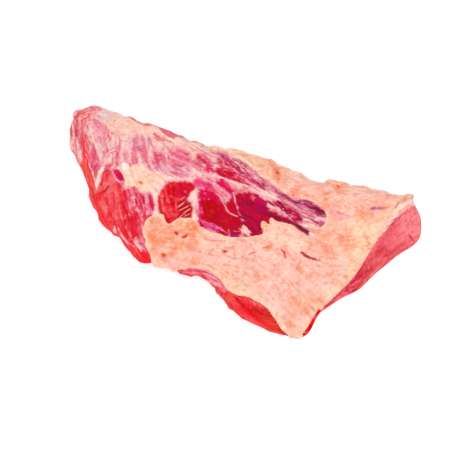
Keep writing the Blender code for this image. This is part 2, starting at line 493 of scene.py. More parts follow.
class Tone(Enum):
    """Colours of the tissues, as display colours from 0 to 255."""

    SKIN = (239, 172, 176)
    SKIN_PALE = (248, 208, 200)
    SKIN_PEACH = (250, 202, 180)
    SKIN_GREY = (234, 194, 188)
    FILM = (243, 206, 204)
    CREAM = (253, 222, 202)
    DEPOSIT = (251, 206, 178)
    WHITE_FAT = (255, 248, 240)
    PINK = (238, 132, 152)
    LILAC = (232, 158, 184)
    ORCHID = (226, 112, 172)
    MAUVE = (226, 126, 150)
    DUSK = (208, 92, 124)
    ROSE = (228, 82, 114)
    RASPBERRY = (206, 48, 84)
    HOT_PINK = (238, 40, 110)
    MAGENTA = (224, 4, 84)
    CRIMSON = (202, 0, 50)
    BLOOD = (200, 0, 32)
    WINE = (180, 0, 64)
    VIOLET = (168, 0, 90)
    PLUM = (170, 50, 94)
    HEATHER = (198, 62, 106)
    DARK_WINE = (120, 6, 40)
    WINE_BROWN = (168, 40, 50)
    BRIGHT_RED = (254, 4, 12)
    RED = (241, 54, 62)
    WARM_PINK = (243, 100, 108)
    CORAL = (243, 94, 84)
    SCARLET = (230, 14, 34)
    DEEP_RED = (182, 0, 4)
    CUT = (243, 98, 106)
    CUT_PALE = (253, 138, 141)
    CUT_DARK = (214, 52, 62)
    BRICK = (212, 30, 20)
    # painted shadow: the dark brown of the shade in a notch at the lobe's foot
    NOTCH_SHADOW = (130, 64, 44)
    RUST = (222, 86, 62)
    FAT = (246, 187, 166)
    FAT_PINK = (249, 195, 186)
    FAT_PALE = (250, 207, 190)
    FAT_ORANGE = (243, 152, 118)
    FAT_GLOW = (240, 124, 76)
    FAT_YELLOW = (252, 212, 176)
    FAT_EDGE = (252, 219, 190)
    SMEAR = (200, 140, 152)

    @property
    def display(self) -> Array:
        """The colour from 0 to 1."""
        return np.array(self.value) / 255.0

    def towards(self, other: "Tone", share: Array) -> Array:
        """Colours between this one and another, by a share for each point."""
        return mix(self.display, other.display, share[:, None])


def rounded(line: tuple[float, ...], closed: bool, pieces: int = 3) -> Array:
    """Draws a smooth line through pixels.

    Args:
        line: Pixels as one row: across, down, across, down.
        closed: Whether the line returns to its start.
        pieces: Pieces between two pixels.

    Returns:
        The points of the smooth line, of shape (k, 2).
    """
    points = pixels_of(line)
    if len(points) < 3:
        return points if len(points) == 2 else np.concatenate([points, points + 0.01])
    if closed:
        ring = np.concatenate([points[-1:], points, points[:2]])
    else:
        start, end = 2 * points[:1] - points[1:2], 2 * points[-1:] - points[-2:-1]
        ring = np.concatenate([start, points, end])
    t = (np.arange(pieces) / pieces)[:, None]
    made = []
    for a, b, c, d in zip(ring[:-3], ring[1:-2], ring[2:-1], ring[3:]):
        bend = (2 * a - 5 * b + 4 * c - d) * t**2 + (3 * b - a - 3 * c + d) * t**3
        made.append(0.5 * (2 * b + (c - a) * t + bend))
    if not closed:
        made.append(points[-1:])
    return np.concatenate(made)


def line_distance(line: Array, at: Array, closed: bool) -> tuple[Array, Array]:
    """Distance from each place to a line, and how far along it the nearest spot is.

    Args:
        line: Points of the line.
        at: Places, of shape (n, 2).
        closed: Whether the line returns to its start.

    Returns:
        Distances, and shares from 0 at the start to 1 at the end.
    """
    starts, ends = (line, np.roll(line, -1, 0)) if closed else (line[:-1], line[1:])
    best, share = np.full(len(at), np.inf), np.zeros(len(at))
    for i, (a, b) in enumerate(zip(starts, ends)):
        run = b - a
        t = np.clip(((at - a) @ run) / max(run @ run, 1e-9), 0.0, 1.0)
        gap = ((at - a - t[:, None] * run) ** 2).sum(-1)
        nearer = gap < best
        best = np.where(nearer, gap, best)
        share = np.where(nearer, (i + t) / len(starts), share)
    return np.sqrt(best), share


def depth_inside(outline: Array, at: Array) -> Array:
    """Signed distance to an outline: above zero inside it.

    Args:
        outline: Points of a closed outline.
        at: Places, of shape (n, 2).

    Returns:
        Distances, below zero outside.
    """
    gap, _ = line_distance(outline, at, True)
    inside = np.zeros(len(at), bool)
    for a, b in zip(outline, np.roll(outline, -1, 0)):
        crosses = (a[1] > at[:, 1]) != (b[1] > at[:, 1])
        rise = b[1] - a[1] if b[1] != a[1] else 1e-9
        inside ^= crosses & (at[:, 0] < (b[0] - a[0]) * (at[:, 1] - a[1]) / rise + a[0])
    return np.where(inside, gap, -gap)


def around(line: Array, reach: float, at: Array) -> Array:
    """Tells which places lie within reach of the box round a line."""
    return np.all((at > line.min(0) - reach) & (at < line.max(0) + reach), -1)


@dataclass(frozen=True)
class Grain:
    """Noise from about -1 to 1 at each point: fine and broad fibres, and specks."""

    fine: Array
    broad: Array
    speck: Array

    def only(self, found: Array) -> "Grain":
        """The noise of some of the points."""
        return Grain(self.fine[found], self.broad[found], self.speck[found])


@dataclass(frozen=True)
class Patch:
    """An area of one tissue, outlined by pixels of the photograph."""

    FRAY = 1.7
    SOFT = 0.8
    FRAY_REACH = 2.5

    tone: Tone
    soft: float
    line: tuple[float, ...]
    strength: float = 1.0
    lift: float = 0.0
    fray: float = 0.8
    light: Tone | None = None
    dark: Tone | None = None
    streaks: float = 0.6
    flecks: float = 0.0
    fleck_tone: Tone = Tone.SKIN_PALE

    def cover(self, at: Array, grain: Grain) -> Array:
        """How much of each place the area covers.

        Args:
            at: Pixels, of shape (n, 2).
            grain: The noise there, which frays the edge.

        Returns:
            Shares from 0 to 1.
        """
        line = rounded(self.line, True)
        soft, fray = self.soft * self.SOFT, self.fray * self.FRAY
        near = around(line, soft + 1.0 + self.FRAY_REACH * fray, at)
        ragged = grain.fine[near] + 0.6 * grain.speck[near]
        share = np.zeros(len(at))
        share[near] = smooth(-soft, soft, depth_inside(line, at[near]) + ragged * fray)
        return share

    def shade(self, grain: Grain) -> Array:
        """The colour of the tissue at each place, streaked along its fibres and flecked.

        Args:
            grain: The noise at each place.

        Returns:
            Colours from 0 to 1.
        """
        noise = 0.75 * grain.fine + 0.5 * grain.broad + 0.25 * grain.speck
        colour = np.broadcast_to(self.tone.display, (len(noise), 3))
        layers = (
            (self.light, self.streaks, smooth(-0.1, 0.85, noise)),
            (self.dark, self.streaks, smooth(-0.1, 0.85, -noise)),
            (self.fleck_tone, self.flecks, smooth(0.25, 0.75, grain.speck + 0.3 * grain.fine)),
        )
        for tone, strength, share in layers:
            if tone and strength:
                colour = mix(colour, tone.display, strength * share[:, None])
        return colour


@dataclass(frozen=True)
class Strand:
    """A thin mark along a line of pixels, such as a vein, a fibre or a spot of blood."""

    TAPER = 0.6

    tone: Tone
    width: float
    line: tuple[float, ...]
    strength: float = 1.0
    lift: float = 0.0
    fray: float = 0.2

    def cover(self, at: Array, grain: Grain) -> Array:
        """How much of each place the mark covers, as Patch.cover tells.

        Args:
            at: Pixels, of shape (n, 2).
            grain: The noise there.

        Returns:
            Shares from 0 to 1.
        """
        line = rounded(self.line, False)
        near = around(line, self.width + 1.5, at)
        gap, along = line_distance(line, at[near], False)
        length = np.linalg.norm(np.diff(line, axis=0), axis=1).sum()
        taper = self.TAPER * smooth(1.0, 2.0, length / self.width)
        half = self.width / 2.0 * (1.0 - taper * (2.0 * along - 1.0) ** 2)
        gap = gap - (grain.fine[near] + grain.speck[near]) * self.fray
        worn = 0.5 * smooth(0.2, 1.0, -grain.broad[near] - grain.speck[near])
        share = np.zeros(len(at))
        share[near] = (1.0 - smooth(half * 0.3, half * 1.1 + 0.3, gap)) * (1.0 - worn)
        return share

    def shade(self, grain: Grain) -> Array:
        """The colour of the mark at each place."""
        return np.broadcast_to(self.tone.display, (len(grain.fine), 3))


def strands(tone: Tone, width: float, strength: float, lift: float,
            *lines: tuple[float, ...], fray: float = 0.2) -> tuple[Strand, ...]:
    """Marks that are alike in all but their lines."""
    return tuple(Strand(tone, width, line, strength, lift, fray) for line in lines)


class FibreField:
    """Streaky noise that follows the lie of the fibres, on a raster over the photograph."""

    PITCH = 0.5
    COARSE = 4
    STEPS = 9

    def __init__(
        self,
        box: tuple[int, int, int, int],
        lie: tuple[tuple[float, float, float], ...],
        seed: int,
    ) -> None:
        """Makes the field.

        Args:
            box: Pixels that the field covers: left, top, right, bottom.
            lie: Pixels across and down, and the degrees from right towards down of the
                fibres there.
            seed: Which noise it is.
        """
        self.box = box
        self.lie = np.array(lie, float)
        path = self._paths()
        self.fine = self._combed(path[3:-3], 1.15, seed)
        self.broad = self._combed(path, 2.8, seed + 1)

    def _headings(self) -> Array:
        """The lie of the fibres on a coarse raster.

        Returns:
            Unit headings, of shape (rows, columns, 2).
        """
        left, top, right, bottom = self.box
        x = np.arange(left, right + self.COARSE, self.COARSE)
        y = np.arange(top, bottom + self.COARSE, self.COARSE)
        at = np.stack(np.meshgrid(x, y), -1).astype(float)
        turn = 2.0 * np.radians(self.lie[:, 2])
        gap = ((at[:, :, None] - self.lie[None, None, :, :2]) ** 2).sum(-1)
        weight = 1.0 / (gap + 20.0) ** 1.6
        angle = np.arctan2((weight * np.sin(turn)).sum(-1), (weight * np.cos(turn)).sum(-1)) / 2
        return np.stack([np.cos(angle), np.sin(angle)], -1)

    def _paths(self) -> list[Array]:
        """Places along the fibre through each raster point, from one end to the other.

        Returns:
            For each step the pixels of all raster points.
        """
        left, top, right, bottom = self.box
        x, y = np.arange(left, right, self.PITCH), np.arange(top, bottom, self.PITCH)
        start = np.stack(np.meshgrid(x, y), -1)
        headings = self._headings()
        both = []
        limit = np.array(headings.shape[1::-1]) - 1
        for sign in (-1.0, 1.0):
            at, heading, path = start.copy(), None, []
            for _ in range(self.STEPS):
                cell = np.clip(((at - (left, top)) / self.COARSE + 0.5).astype(int), 0, limit)
                run = headings[cell[..., 1], cell[..., 0]]
                if heading is None:
                    heading = run * sign
                else:
                    same = (run * heading).sum(-1) >= 0.0
                    heading = run * np.where(same, 1.0, -1.0)[..., None]
                at = at + heading
                path.append(at)
            both.append(path)
        return both[0][::-1] + [start] + both[1]

    def _combed(self, path: list[Array], grain: float, seed: int) -> Array:
        """Noise of a grain size in pixels, averaged along the fibres.

        Args:
            path: The places to average over.
            grain: Size of the noise in pixels.
            seed: Which noise it is.

        Returns:
            The raster, with a mean of 0 and a spread of 1.
        """
        left, top, right, bottom = self.box
        margin = self.STEPS + 2
        random = np.random.default_rng(seed)
        wide = int((right - left + 2 * margin) / grain) + 2
        tall = int((bottom - top + 2 * margin) / grain) + 2
        raster = random.standard_normal((tall, wide))
        total = 0.0
        for at in path:
            x = (at[..., 0] - left + margin) / grain
            y = (at[..., 1] - top + margin) / grain
            total = total + bilinear(raster, x, y)
        return (total - total.mean()) / total.std()

    def read(self, raster: Array, at: Array) -> Array:
        """Reads one of the rasters at pixels, as noise of about -1 to 1.

        Args:
            raster: The fine or the broad noise.
            at: Pixels, of shape (n, 2).

        Returns:
            One value for each pixel.
        """
        x = (at[:, 0] - self.box[0]) / self.PITCH
        y = (at[:, 1] - self.box[1]) / self.PITCH
        return np.clip(bilinear(raster, x, y) * 0.6, -1.5, 1.5)


def bilinear(raster: Array, x: Array, y: Array) -> Array:
    """Reads a raster between its points.

    Args:
        raster: The values.
        x: Columns to read at.
        y: Rows to read at.

    Returns:
        Values of the shape of x.
    """
    x = np.clip(x, 0.0, raster.shape[1] - 1.001)
    y = np.clip(y, 0.0, raster.shape[0] - 1.001)
    i, j = x.astype(int), y.astype(int)
    s, t = x - i, y - j
    upper = raster[j, i] * (1 - s) + raster[j, i + 1] * s
    return upper * (1 - t) + (raster[j + 1, i] * (1 - s) + raster[j + 1, i + 1] * s) * t


class Canvas:
    """The colours and heights of the points of a skin, built up tissue by tissue."""

    def __init__(self, points: Array, pixels: Array, hidden: Array,
                 fibres: FibreField) -> None:
        """Reads the fibre noise and starts with an empty canvas.

        Args:
            points: Positions in millimetres, of shape (n, 3).
            pixels: Their pixels, of shape (n, 2).
            hidden: How far each point lies out of sight; fibres run lengthwise there.
            fibres: The lie of the fibres.
        """
        self.points, self.hidden = points, hidden
        far, flat = smooth(0.0, 6.0, hidden), points / np.array([6.0, 1.0, 1.0])
        sway = [
            layered_noise(points, 6.0, seed, 2) + 0.5 * layered_noise(points, 2.2, seed + 5, 1)
            for seed in (71, 72)
        ]
        self.at = pixels + 0.6 * np.stack(sway, -1)
        self.grain = Grain(
            mix(fibres.read(fibres.fine, self.at), layered_noise(flat, 1.8, 41, 2), far),
            mix(fibres.read(fibres.broad, self.at), layered_noise(flat, 4.5, 43, 2), far),
            layered_noise(points, 2.6, 73, 2),
        )
        self.colour = np.zeros((len(points), 3))
        self.lift = np.zeros(len(points))

    def lay(self, tissues: tuple["Patch | Strand", ...]) -> None:
        """Lays tissues over what is there, in their order.

        Args:
            tissues: The patches and strands.
        """
        for tissue in tissues:
            share = tissue.cover(self.at, self.grain) * tissue.strength
            found = share > 0.0
            colour = tissue.shade(self.grain.only(found))
            self.colour[found] = mix(self.colour[found], colour, share[found, None])
            self.lift[found] += share[found] * tissue.lift

    def blend(self, tone: Tone, share: Array) -> None:
        """Mixes a tone into the canvas by a share for each point."""
        self.colour = mix(self.colour, tone.display, share[:, None])

    def weave(self, tone: Tone, width: float, strength: float) -> None:
        """Lays a web of fine threads that run with the fibres over everything.

        Args:
            tone: Their colour.
            width: Their width, as a share of the noise.
            strength: How strongly they cover.
        """
        threads = smooth(width, 0.0, np.abs(self.grain.fine + 0.35 * self.grain.speck))
        threads = threads * smooth(-0.5, 0.6, self.grain.broad + self.grain.speck)
        self.blend(tone, strength * threads)
        self.lift += 0.12 * threads

    def shadow(self, depth: float) -> None:
        """Paints shade into the colours: fine uneven specks and grooves darken, as if shaded by
        fine relief.

        Args:
            depth: Share of the colour that the deepest specks lose.
        """
        fine = layered_noise(self.points, 1.5, 75, 1)
        dark = smooth(-0.1, 0.9, 0.7 * fine - 0.6 * self.grain.fine)
        dark = dark * (1.0 - 0.6 * smooth(0.7, 0.85, self.colour[:, 1]))
        self.colour = self.colour * (1.0 - depth * dark[:, None] * np.array([0.45, 1.3, 1.15]))


# ---------- what is where
# Lines are pixels of the photograph: across, down, across, down. T is short for Tone here.
T = Tone

LEAN_BOX = (60, 95, 440, 350)
FAT_BOX = (130, 130, 440, 350)
LEAN_SEED, FAT_SEED = 11, 21

LEAN_LIE = (
    (73, 130, 87), (83, 150, 81), (91, 180, 71), (98, 205, 68), (85, 112, 153), (100, 112, 22),
    (98, 135, 73), (115, 125, 17), (115, 150, 84), (128, 145, 96), (135, 158, 81), (148, 150, 76),
    (100, 170, 104), (108, 168, 144), (110, 195, 79), (120, 215, 81), (105, 218, 61),
    (118, 238, 53), (134, 254, 51), (132, 225, 79), (148, 256, 63), (135, 200, 71), (148, 205, 84),
    (140, 235, 63), (132, 170, 73), (150, 180, 27), (165, 200, 79), (175, 195, 81),
    (184, 210, 145), (172, 215, 63), (188, 190, 32), (196, 205, 84), (162, 157, 68),
    (178, 156, 17), (175, 171, 22), (165, 134, 27), (200, 160, 31), (210, 170, 29), (225, 172, 27),
    (240, 172, 35), (255, 180, 37), (270, 190, 37), (285, 200, 31), (300, 205, 22), (312, 218, 17),
    (225, 184, 19), (205, 190, 35), (212, 208, 71), (215, 228, 27), (230, 205, 73), (245, 205, 24),
    (255, 225, 31), (280, 215, 27), (195, 275, 9), (215, 285, 37), (240, 303, 35), (262, 318, 31),
    (280, 332, 27), (400, 225, 149), (360, 275, 143), (330, 300, 149), (310, 322, 59),
)

FAT_LIE = (
    (165, 235, 9), (185, 225, 174), (200, 250, 14), (180, 258, 14), (235, 250, 11), (232, 262, 17),
    (262, 255, 11), (225, 275, 41), (258, 275, 49), (285, 265, 63), (280, 295, 52), (300, 320, 59),
    (310, 290, 41), (330, 262, 14), (300, 240, 24), (345, 235, 169), (370, 235, 135),
    (380, 205, 3), (345, 200, 6), (300, 180, 24), (255, 162, 27), (225, 150, 9), (150, 225, 117),
    (147, 245, 79),
)

SWELLS = (
    Swell(10.5, 8, (72,112, 74,110)),
    Swell(1.4, 6, (69.5,122, 69.5,129)),
    Swell(-3.9, 11, (74,157, 82,175, 87,189)),
    Swell(1.8, 8, (100,220, 104,228)),
    Swell(1, 5, (92,105, 98,105)),
    Swell(1.6, 4, (130,117, 134,118)),
    Swell(-1.2, 4, (122,117, 125,117.5)),
    Swell(2.4, 9, (150,123, 170,132, 181,135.5)),
    Swell(1.6, 7, (196,140, 202,142)),
    Swell(2, 9, (232,149, 240,150)),
    Swell(1.2, 6, (215,147, 221,147.5)),
    Swell(-1, 4, (174,134, 177,135)),
    Swell(-3.6, 10, (278,165, 292,171)),
    Swell(-1, 5, (262,157, 266,158)),
    Swell(6.8, 9, (330,180, 344,181)),
    Swell(1.2, 8, (354,184, 364,186)),
    Swell(1.6, 6, (348,183, 366,186)),
    Swell(-2.4, 7, (390,192, 402,194)),
    Swell(1, 10, (404,200, 415,200)),
    Swell(-5, 6, (418,206, 420,209)),
    Swell(1.4, 7, (422,219, 422,234)),
    Swell(1.8, 7, (404,252, 396,257)),
    Swell(-4.4, 8, (320,310, 310,327, 305,336)),
    Swell(-1.6, 5, (300,338, 294,337)),
    Swell(-1.2, 7, (262,329, 248,320)),
    Swell(1.8, 6, (230,306, 224,298, 218,292)),
    Swell(-1.2, 7, (208,281, 202,279)),
    Swell(2.8, 6, (190,276, 180,273)),
    Swell(-1.4, 5, (170,269, 166,268)),
    Swell(1.4, 6, (146,264, 140,261)),
    Swell(-2, 8, (130,250, 118,240)),
)

TIP_TISSUES = (
    Patch(T.SKIN_PEACH, 4, (100,115, 112,117, 118,116, 150,124, 188,141, 200,144, 196,150, 180,145,
        150,137, 118,134, 104,130), light=T.CREAM, streaks=0.5),
    Patch(T.SKIN_PEACH, 4, (160,140, 180,146, 192,150, 196,158, 190,160, 184,150, 158,146), 0.7,
        light=T.CREAM),
    Patch(T.SKIN_GREY, 2.2, (97,108, 104,107, 112,110, 114,115, 112,120, 105,122, 99,117),
        light=T.FILM),
    Patch(T.PINK, 2, (80,110, 88,105, 95,104, 100,107, 99,113, 84,116), light=T.SKIN, dark=T.RUST,
        streaks=0.5),
    Patch(T.WARM_PINK, 3, (68,128, 72,112, 84,111, 92,114, 90,127, 91,140, 96,150, 98,172, 93,180,
        88,168, 84,150, 78,152, 72,146), 0.85, light=T.SKIN_PALE, dark=T.ROSE, streaks=0.7),
    Strand(T.RUST, 2, (74,120, 79,114, 87,109), 0.7),
    Patch(T.PINK, 1.4, (93,124, 99,121, 105,125, 108,132, 102,142, 97,142, 95,137, 93,131), 0.8,
        -0.4, light=T.LILAC, dark=T.MAUVE, streaks=0.35),
    Strand(T.RASPBERRY, 1.5, (106,127, 109,132, 107,138, 103,143), 0.55),
    *strands(T.SKIN_PALE, 1.6, 0.75, 0.2, (92,116, 91,126, 92,138, 96,148), (80,116, 80,127,
        80,138)),
    Strand(T.RASPBERRY, 2.6, (86,121, 84,130, 86,141, 89,150), 0.6, -0.2),
    Strand(T.DEEP_RED, 1.8, (72,122, 71,131, 72,140), 0.7),
    Strand(T.SKIN_PALE, 2, (74,114, 73,127, 75,140), 0.8, 0.2),
    Strand(T.RASPBERRY, 3.6, (77,120, 76,130, 77,140), 0.9, -0.25),
    Strand(T.SKIN_GREY, 3.6, (76,137, 80,154), 0.95, 0.2),
    Strand(T.WARM_PINK, 5, (73,150, 79,164), 0.8),
    Patch(T.BRIGHT_RED, 0.9, (82,134, 83,134, 84,142, 91,170, 98,198, 102,216, 94,212, 86,196,
        80,184, 76,172, 80,165, 82,160, 82,142), 1, -0.3, 0.5, dark=T.DEEP_RED, streaks=0.4),
    Patch(T.ROSE, 1.6, (91,151, 96,149, 98,158, 99,166, 97,171, 96,177, 93,175, 91,168, 88,163),
        0.9, -0.3, light=T.PINK, dark=T.RASPBERRY, streaks=0.5),
    Strand(T.CREAM, 1.5, (86,154, 98,191), 1, 0.35),
    Patch(T.CREAM, 0.9, (97,190, 96,181, 98,172, 104,166, 102,175), 0.95, 0.4, 0.3),
    Patch(T.WARM_PINK, 0.8, (131,118, 134,114, 138,116, 145,119, 153,123, 150,126, 137,122.5), 1,
        -0.2, 0.4, dark=T.ROSE, streaks=0.4),
    Strand(T.WARM_PINK, 3, (150,123, 184,138), 0.9),
    Patch(T.ROSE, 0.8, (159,127, 166,129, 173,132.5, 178,135.5, 173,137.5, 165,135.5, 161,132),
        0.9, dark=T.RASPBERRY, streaks=0.3),
    Strand(T.RUST, 1.3, (186,138, 203,144), 0.6),
    Strand(T.SKIN_PALE, 1.3, (112,121, 107,131, 106,141, 101,149, 100,158), 0.8, 0.2),
    *strands(T.SKIN_PALE, 1.1, 0.6, 0.2, (118,120, 114,130, 112,141, 109,149), (146,134, 149,143,
        150,152, 149,160)),
    *strands(T.CREAM, 1.1, 0.6, 0.2, (128,128, 126,138, 126.5,148, 125,158, 126,166), (138,152,
        141,166)),
    Patch(T.WARM_PINK, 0.9, (154,133, 158,135, 160,138, 164,140, 160,141, 156,138)),
    Strand(T.RUST, 1.6, (114.5,120.5), 0.9),
    Strand(T.RUST, 1, (112,119, 106,123), 0.35),
    Patch(T.MAUVE, 2, (133,137, 138,135, 143,138, 144,147, 139,152, 134,150, 132,143), 0.7, -0.3,
        light=T.LILAC, dark=T.DUSK),
    Patch(T.DUSK, 1.6, (134,139, 137,140, 138,147, 136,150, 134,146), 0.5),
    Strand(T.DUSK, 1.3, (148,136, 149,150), 0.7),
    Strand(T.DUSK, 1.2, (151,138, 153,150), 0.5),
    Patch(T.ROSE, 0.9, (143,146, 146,146, 147,157, 146,163, 143,157), 0.6, -0.2),
    Patch(T.ROSE, 1, (132,150, 135,149, 137,160, 138,168, 135,171, 132,163), 0.6, -0.2,
        light=T.PINK, streaks=0.3),
    Patch(T.PINK, 0.9, (124,151, 126,151, 127,160, 125,164), 0.7, -0.1),
    Patch(T.ROSE, 1, (115,151, 119,150, 120,158, 119,166, 116,165, 115,158), 0.8, -0.25),
    Strand(T.ROSE, 1.6, (105,154, 108,151, 113,148, 118,148), 0.85, -0.1),
    Strand(T.ROSE, 1.3, (108,157, 111,153, 116,151), 0.7),
    Patch(T.ROSE, 0.7, (105,169, 108,165, 112,162.5, 111,167, 108,170), 0.9, -0.2),
    Patch(T.ROSE, 1.4, (154,152, 160,151, 166,157, 166,163, 159,166, 154,161), 0.75, -0.3,
        light=T.PINK, dark=T.DUSK),
    Patch(T.RASPBERRY, 1.2, (156,153, 160,153, 162,159, 158,161, 156,158), 0.4),
    Patch(T.LILAC, 1.3, (154,167, 160,164, 167,166, 166,172, 161,175, 156,172), 0.8, -0.2,
        light=T.SKIN, dark=T.MAUVE),
    Strand(T.DUSK, 1, (146,158, 149,165, 154,171, 160,176), 0.5),
    Patch(T.DEPOSIT, 1.6, (121,171, 127,167, 141,164, 150,169, 160,173, 168,179, 162,187, 154,196,
        150,193, 140,194, 137,189, 129,187, 124,187, 124,182, 125,179), 1, 0.9, 0.5, light=T.CREAM,
        dark=T.SKIN_PEACH, streaks=0.7),
    Patch(T.WHITE_FAT, 0.7, (125.5,163.5, 129,165, 129.8,168.5, 127.5,171.6, 123.5,171.2,
        121.6,168, 122.6,164.8), 1, 1.5, 0.1),
    Strand(T.RUST, 2.4, (140,183, 142,184), 0.9),
    Strand(T.FAT_GLOW, 4, (138,181, 143,186), 0.35),
    *strands(T.RUST, 1.1, 0.7, 0, (139,179.5), (148,188)),
    Strand(T.FAT_ORANGE, 3, (149,181, 153,182), 0.5),
)

LOBE_TISSUES = (
    Patch(T.RED, 0.9, (97,191, 101,180, 102,175, 105,171, 109,170, 112,173, 116,181, 119,183,
        121,187, 123,189, 132,187, 136,188, 139,192, 141,195, 146,194, 150,193, 153,198, 154,213,
        147,222, 146,236, 150,246, 155,258, 158,272, 140,278, 118,258, 95,228, 84,200, 92,198), 1,
        -0.5, 0.4, light=T.WARM_PINK, dark=T.SCARLET, streaks=0.75, flecks=0.35,
        fleck_tone=T.SKIN),
    Patch(T.BRIGHT_RED, 3, (90,198, 95,202, 110,227, 131,248, 142,260, 150,264, 142,270, 118,250,
        96,224), 0.6, light=T.RED),
    Patch(T.ROSE, 4, (124,196, 134,192, 148,196, 152,208, 145,232, 150,246, 142,246, 134,236,
        128,216), 0.7, light=T.PINK, dark=T.CRIMSON, flecks=0.5),
    Patch(T.SCARLET, 5, (121,214, 128,210, 134,212, 138,222, 138,246, 124,228), 0.5, -0.2,
        light=T.WARM_PINK, dark=T.BLOOD, flecks=0.4),
    Patch(T.ROSE, 3.4, (129,188, 136,190, 141,196, 149,194, 152,199, 153,210, 147,217, 139,214,
        128,197), 0.9, light=T.PINK, dark=T.CRIMSON, streaks=0.8, flecks=0.5),
    Patch(T.LILAC, 1.6, (144,194, 147,194, 148,199, 147,204, 145,202), 0.7, dark=T.ORCHID,
        streaks=0.7),
    Patch(T.ROSE, 1.4, (149,195, 152,199, 153,208, 150,212, 149,204), 0.7, light=T.PINK,
        dark=T.RASPBERRY, streaks=0.9),
    Patch(T.HOT_PINK, 1.2, (139,194, 143,195, 143,201, 140,202), 0.6, dark=T.MAGENTA),
    Patch(T.PINK, 1.3, (128,189, 133,188, 138,191, 139,195, 129,192), 0.6),
    Patch(T.WARM_PINK, 4, (104,190, 114,186, 121,190, 122,204, 118,216, 111,212, 105,202), 0.6,
        light=T.CORAL, dark=T.RED),
    Patch(T.CORAL, 1, (98,191, 100,186, 106,182, 109,185, 105,189), 0.9, 0.5, 0.3, light=T.PINK),
    Patch(T.BRIGHT_RED, 0.9, (93,196, 96,192, 99,193, 100,198, 97,200, 94,199), 0.9, -0.3),
    Strand(T.DEEP_RED, 1.5, (97,194, 105,190, 109,186), 0.9, -0.5),
    Strand(T.SKIN, 1.2, (100,187, 103,184, 106,182.5), 0.6, 0.2),
    Strand(T.SKIN_PALE, 1.2, (119,188, 122,189.5, 131,187.5), 0.7, 0.2),
    Patch(T.MAGENTA, 0.8, (114.5,169, 118,170, 121.5,174, 123.5,180, 118.5,180.5, 114,173), 1,
        -0.6, 0.3, dark=T.CRIMSON),
    Strand(T.BLOOD, 1.3, (119,171, 122,175, 124,181), 0.85, -0.3),
    Strand(T.CRIMSON, 1.3, (103,173, 107,170, 110,171), 0.8, -0.3),
    Strand(T.ROSE, 1.8, (105,174, 108,173, 111,176), 0.6),
    Strand(T.DEEP_RED, 1.1, (117,181.5, 120,184.5, 122,188), 0.7, -0.2),
    Patch(T.FILM, 1, (113,226, 115,226, 116,233, 113,232), 0.95, 0.3, 0.2),
    Strand(T.PINK, 1.6, (115,203, 115,214, 118,229), 0.9, 0.2),
    *strands(T.SKIN, 1.1, 0.6, 0.2, (121,206, 121.5,219), (133,238, 141.5,255, 147,262), (126,196,
        129,205, 131,214)),
    *strands(T.SKIN_PALE, 1.1, 0.6, 0.2, (131,198, 134,197, 137,199, 138,204, 136,209), (143,205,
        147,217), (134,200, 134.5,207, 136,211), (138,207, 139.5,213), (141,199, 142,205,
        144,210)),
    Strand(T.HOT_PINK, 2, (144,249, 151,258), 0.8, -0.2),
    Strand(T.SKIN_PALE, 1.4, (118,228, 122,236, 128,243, 141,251), 0.8, 0.3),
    *strands(T.PINK, 1.1, 0.6, 0.2, (128,243, 136,251, 151,264), (120,205, 120.5,214, 123,224)),
    Strand(T.SKIN_PALE, 0.9, (146,210, 147,214), 0.5, 0.2),
    *strands(T.BLOOD, 1.6, 0.65, -0.3, (126,213, 129,230), (133,214, 134,223, 137,238)),
    *strands(T.BLOOD, 1.2, 0.5, -0.2, (140,216, 139,224, 140,231), (122,220, 124.5,229, 129,237)),
    Patch(T.PINK, 2, (134,240, 140,239, 145,243, 149,251, 144,252, 138,248), 0.85,
        light=T.SKIN_PALE, dark=T.RASPBERRY, streaks=0.9),
    *strands(T.BLOOD, 1.1, 0.8, 0, (128.5,240, 129,242.5), (131,241, 131.5,243)),
    Strand(T.DUSK, 1.3, (145,240, 146,246), 0.8, -0.3),
    Strand(T.RASPBERRY, 2.6, (146,248, 152,259), 0.8, -0.3),
    Strand(T.BRIGHT_RED, 3, (137,249, 143,257, 149,263), 0.8),
    # painted shadow: a dark brown mark in place of the shade in the notch at the lobe's foot
    Strand(T.NOTCH_SHADOW, 2.4, (148,265, 153,264), 0.8, -0.4),
)

